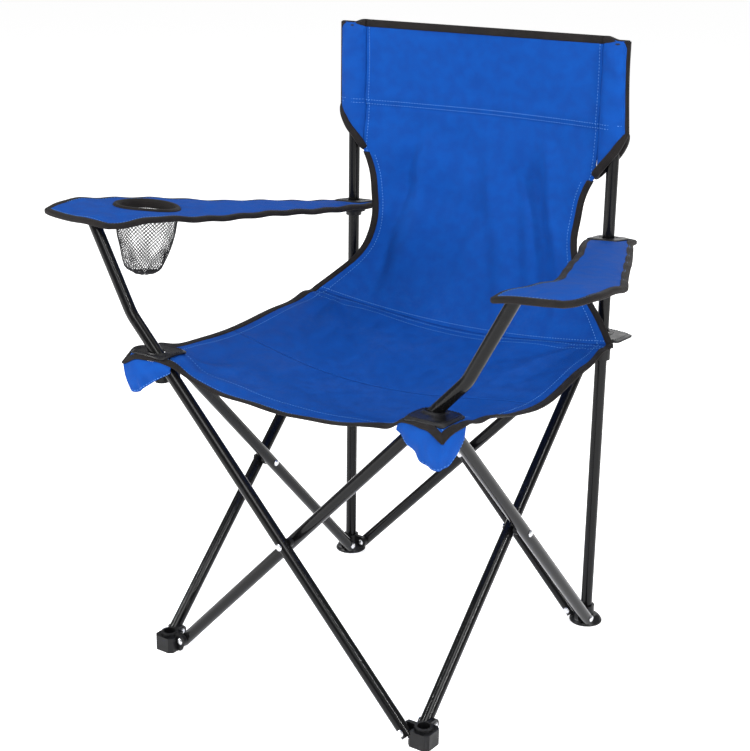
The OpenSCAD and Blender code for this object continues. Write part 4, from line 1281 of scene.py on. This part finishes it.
@dataclass
class CupHolder:
    """Bound ring and knitted net bag in the sitter's right armrest."""

    arm: Armrest
    fold: Fold
    paint: Finishes
    strands: int = 46
    depth: float = 0.086

    def bag(self, angle: Array, down: Array) -> Array:
        """Net surface: a cone with a rounded foot that sags a little to the front."""
        x0, y0 = self.arm.cup
        z0 = self.arm.height(x0 + self.arm.cup_r * np.cos(angle), y0 + self.arm.cup_r * np.sin(angle)) - 0.002
        taper = 1.05 - smooth(down, 0.3, 1.0) * 0.25 - 0.22 * down
        foot = np.sqrt(np.clip(1 - np.clip((down - 0.86) / 0.14, 0, 1) ** 2 * 0.96, 0, 1))
        radius = (self.arm.cup_r - 0.0005) * taper * foot
        radius = radius * (1 + 0.03 * np.sin(3 * angle + 2) * down)
        crush = 0.0022 * np.sin(5 * angle + 9 * down) * smooth(down, 0.35, 0.9)
        radius = radius + crush
        level = z0 * (1 - down) + (float(self.arm.height(np.array(x0), np.array(y0)))) * down
        return np.stack([x0 + radius * np.cos(angle) + 0.001 * down,
                         y0 + radius * np.sin(angle) - 0.010 * down, level - self.depth * down], -1)

    def build(self) -> None:
        """Make the ring tape and the net."""
        x0, y0 = self.arm.cup
        a = np.linspace(0, 2 * math.pi, 121)[:-1]
        r = self.arm.cup_r
        ring = np.stack([x0 + r * np.cos(a), y0 + r * np.sin(a), np.zeros_like(a)], 1)
        ring[:, 2] = self.arm.height(ring[:, 0], ring[:, 1]) + 0.001
        out = np.stack([np.cos(a), np.sin(a), np.zeros_like(a)], 1)
        up = np.broadcast_to(np.array([0.0, 0.0, 1.0]), out.shape)
        tape = strip("cup_ring_tape", ring, out, up, 0.0085, 0.0125, 0.0008, closed=True)
        self.paint.dress(tape, self.paint.tape, "binding_tape")
        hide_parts("cup_ring")
        d = np.linspace(0, 1, 26)
        start = np.linspace(0, 2 * math.pi, self.strands, endpoint=False)
        lines = []
        for turn in (-1, 1):
            angle = start[:, None] + turn * d[None] * 2.3
            lines.append(self.bag(angle, np.broadcast_to(d[None], angle.shape)))
        strands = np.concatenate(lines)
        net = tubes("cup_net_cords", strands, 0.00042, 4)
        hoops = []
        for level in (0.02, 1.0):
            ang = np.linspace(0, 2 * math.pi, 26)
            hoops.append(self.bag(ang, np.full_like(ang, level)))
        hoop = tubes("cup_net_hoops", np.array(hoops), 0.0009, 5)
        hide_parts("cup_net")
        for piece in (net, hoop):
            self.paint.dress(piece, self.paint.net, "net_mesh")
        for piece in (tape, net, hoop):
            self.fold.arm(piece, Side.RIGHT)


# ------------------------------------------------------------------ studio


@dataclass(frozen=True)
class Studio:
    """Pale floor, soft lights and the camera."""

    eye: tuple[float, float, float] = (1.09957, -1.57953, 0.98680)
    azimuth: float = 35.2956
    elevation: float = 17.572
    roll: float = 0.7688
    focal: float = 1525.9
    surround: float = 0.30
    glow: float = 0.70

    def build(self) -> None:
        """Set the stage."""
        self.floor()
        self.lights()
        self.camera()

    def floor(self) -> None:
        """A wide plain floor under the feet."""
        flat = np.array([[-30, -30, -0.0004], [30, -30, -0.0004], [30, 30, -0.0004], [-30, 30, -0.0004]])
        obj = mesh_object("floor", flat, np.array([[0, 1, 2, 3]]))
        mat, g, shader = start_material("pale floor")
        shader.inputs["Base Color"].default_value = (0.93, 0.93, 0.93, 1)
        shader.inputs["Roughness"].default_value = 0.9
        shader.inputs["Specular IOR Level"].default_value = 0.1
        shader.inputs["Emission Color"].default_value = (1, 1, 1, 1)
        shader.inputs["Emission Strength"].default_value = self.glow
        obj.data.materials.append(mat)

    def lights(self) -> None:
        """Large soft sources and a bright surround."""
        for name, where, size, power in (("key", (1.6, -2.6, 2.9), (1.6, 1.6), 62),
                                         ("left strip", (-1.9, -2.3, 1.5), (0.07, 2.4), 80),
                                         ("right strip", (2.9, -0.9, 1.6), (0.07, 2.4), 80),
                                         ("top", (0.0, 0.5, 3.4), (3.0, 2.4), 44),
                                         ("rear", (-0.8, 3.2, 2.2), (1.8, 1.6), 30)):
            data = bpy.data.lights.new(name, "AREA")
            data.shape, data.size, data.size_y, data.energy = "RECTANGLE", size[0], size[1], power
            lamp = bpy.data.objects.new(name, data)
            bpy.context.scene.collection.objects.link(lamp)
            lamp.location = where
            lamp.rotation_euler = (Vector((0, 0, 0.4)) - Vector(where)).to_track_quat("-Z", "Y").to_euler()
        world = bpy.data.worlds.new("surround")
        world.use_nodes = True
        g = Graph(world.node_tree)
        ray = g.add("ShaderNodeLightPath").outputs["Is Camera Ray"]
        strength = g.math("MULTIPLY_ADD", ray, 1.0 - self.surround, self.surround)
        shell = world.node_tree.nodes["Background"]
        shell.inputs[0].default_value = (1, 1, 1, 1)
        g.tree.links.new(strength, shell.inputs[1])
        bpy.context.scene.world = world
        bpy.context.scene.view_settings.view_transform = "Standard"

    def camera(self) -> None:
        """Camera from its azimuth, elevation and roll."""
        a, e, r = (math.radians(v) for v in (self.azimuth, self.elevation, self.roll))
        back = np.array([math.sin(a) * math.cos(e), -math.cos(a) * math.cos(e), math.sin(e)])
        right = np.array([math.cos(a), math.sin(a), 0.0])
        up = np.cross(back, right)
        x = right * math.cos(r) + up * math.sin(r)
        y = -right * math.sin(r) + up * math.cos(r)
        data = bpy.data.cameras.new("camera")
        data.sensor_fit, data.sensor_width = "HORIZONTAL", 36.0
        data.lens = self.focal * 36.0 / 750.0
        data.dof.use_dof = False
        cam = bpy.data.objects.new("camera", data)
        bpy.context.scene.collection.objects.link(cam)
        rows = [[x[k], y[k], back[k], self.eye[k]] for k in range(3)] + [[0, 0, 0, 1]]
        cam.matrix_world = Matrix(rows)
        bpy.context.scene.camera = cam


def main() -> None:
    """Build the chair's visible cloth and trim over its frame, then the studio."""
    logging.basicConfig(level=logging.INFO, format="%(name)s: %(message)s")
    Studio().build()
    bones = Skeleton.measured()
    paint = Finishes(Effects())
    paint.dress_nodes()
    fold = Fold(bones)
    sling = Sling(bones, fold, paint)
    sling.build_seat()
    sling.build_back()
    sling.build_sleeves()
    CornerTrim(bones, sling, fold, paint).build()
    low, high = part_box("cup_ring")
    middle = ((low.x + high.x) / 2, (low.y + high.y) / 2)
    right = Armrest(Side.RIGHT, bones, fold, paint, cup=middle, roll=0.005)
    right.build()
    slim_inner = ((0.181, 0.246), (0.180, 0.215), (0.196, 0.160), (0.232, 0.080), (0.268, -0.010),
                  (0.298, -0.085), (0.317, -0.140), (0.313, -0.180), (0.298, -0.218), (0.298, -0.236))
    slim_outer = ((0.230, 0.246), (0.240, 0.215), (0.264, 0.165), (0.302, 0.085), (0.340, 0.0),
                  (0.370, -0.065), (0.392, -0.113), (0.396, -0.150), (0.394, -0.190), (0.378, -0.222))
    Armrest(Side.LEFT, bones, fold, paint, inner=slim_inner, outer=slim_outer, roll=0.003).build()
    CupHolder(right, fold, paint).build()


if __name__ == "__main__":
    main()
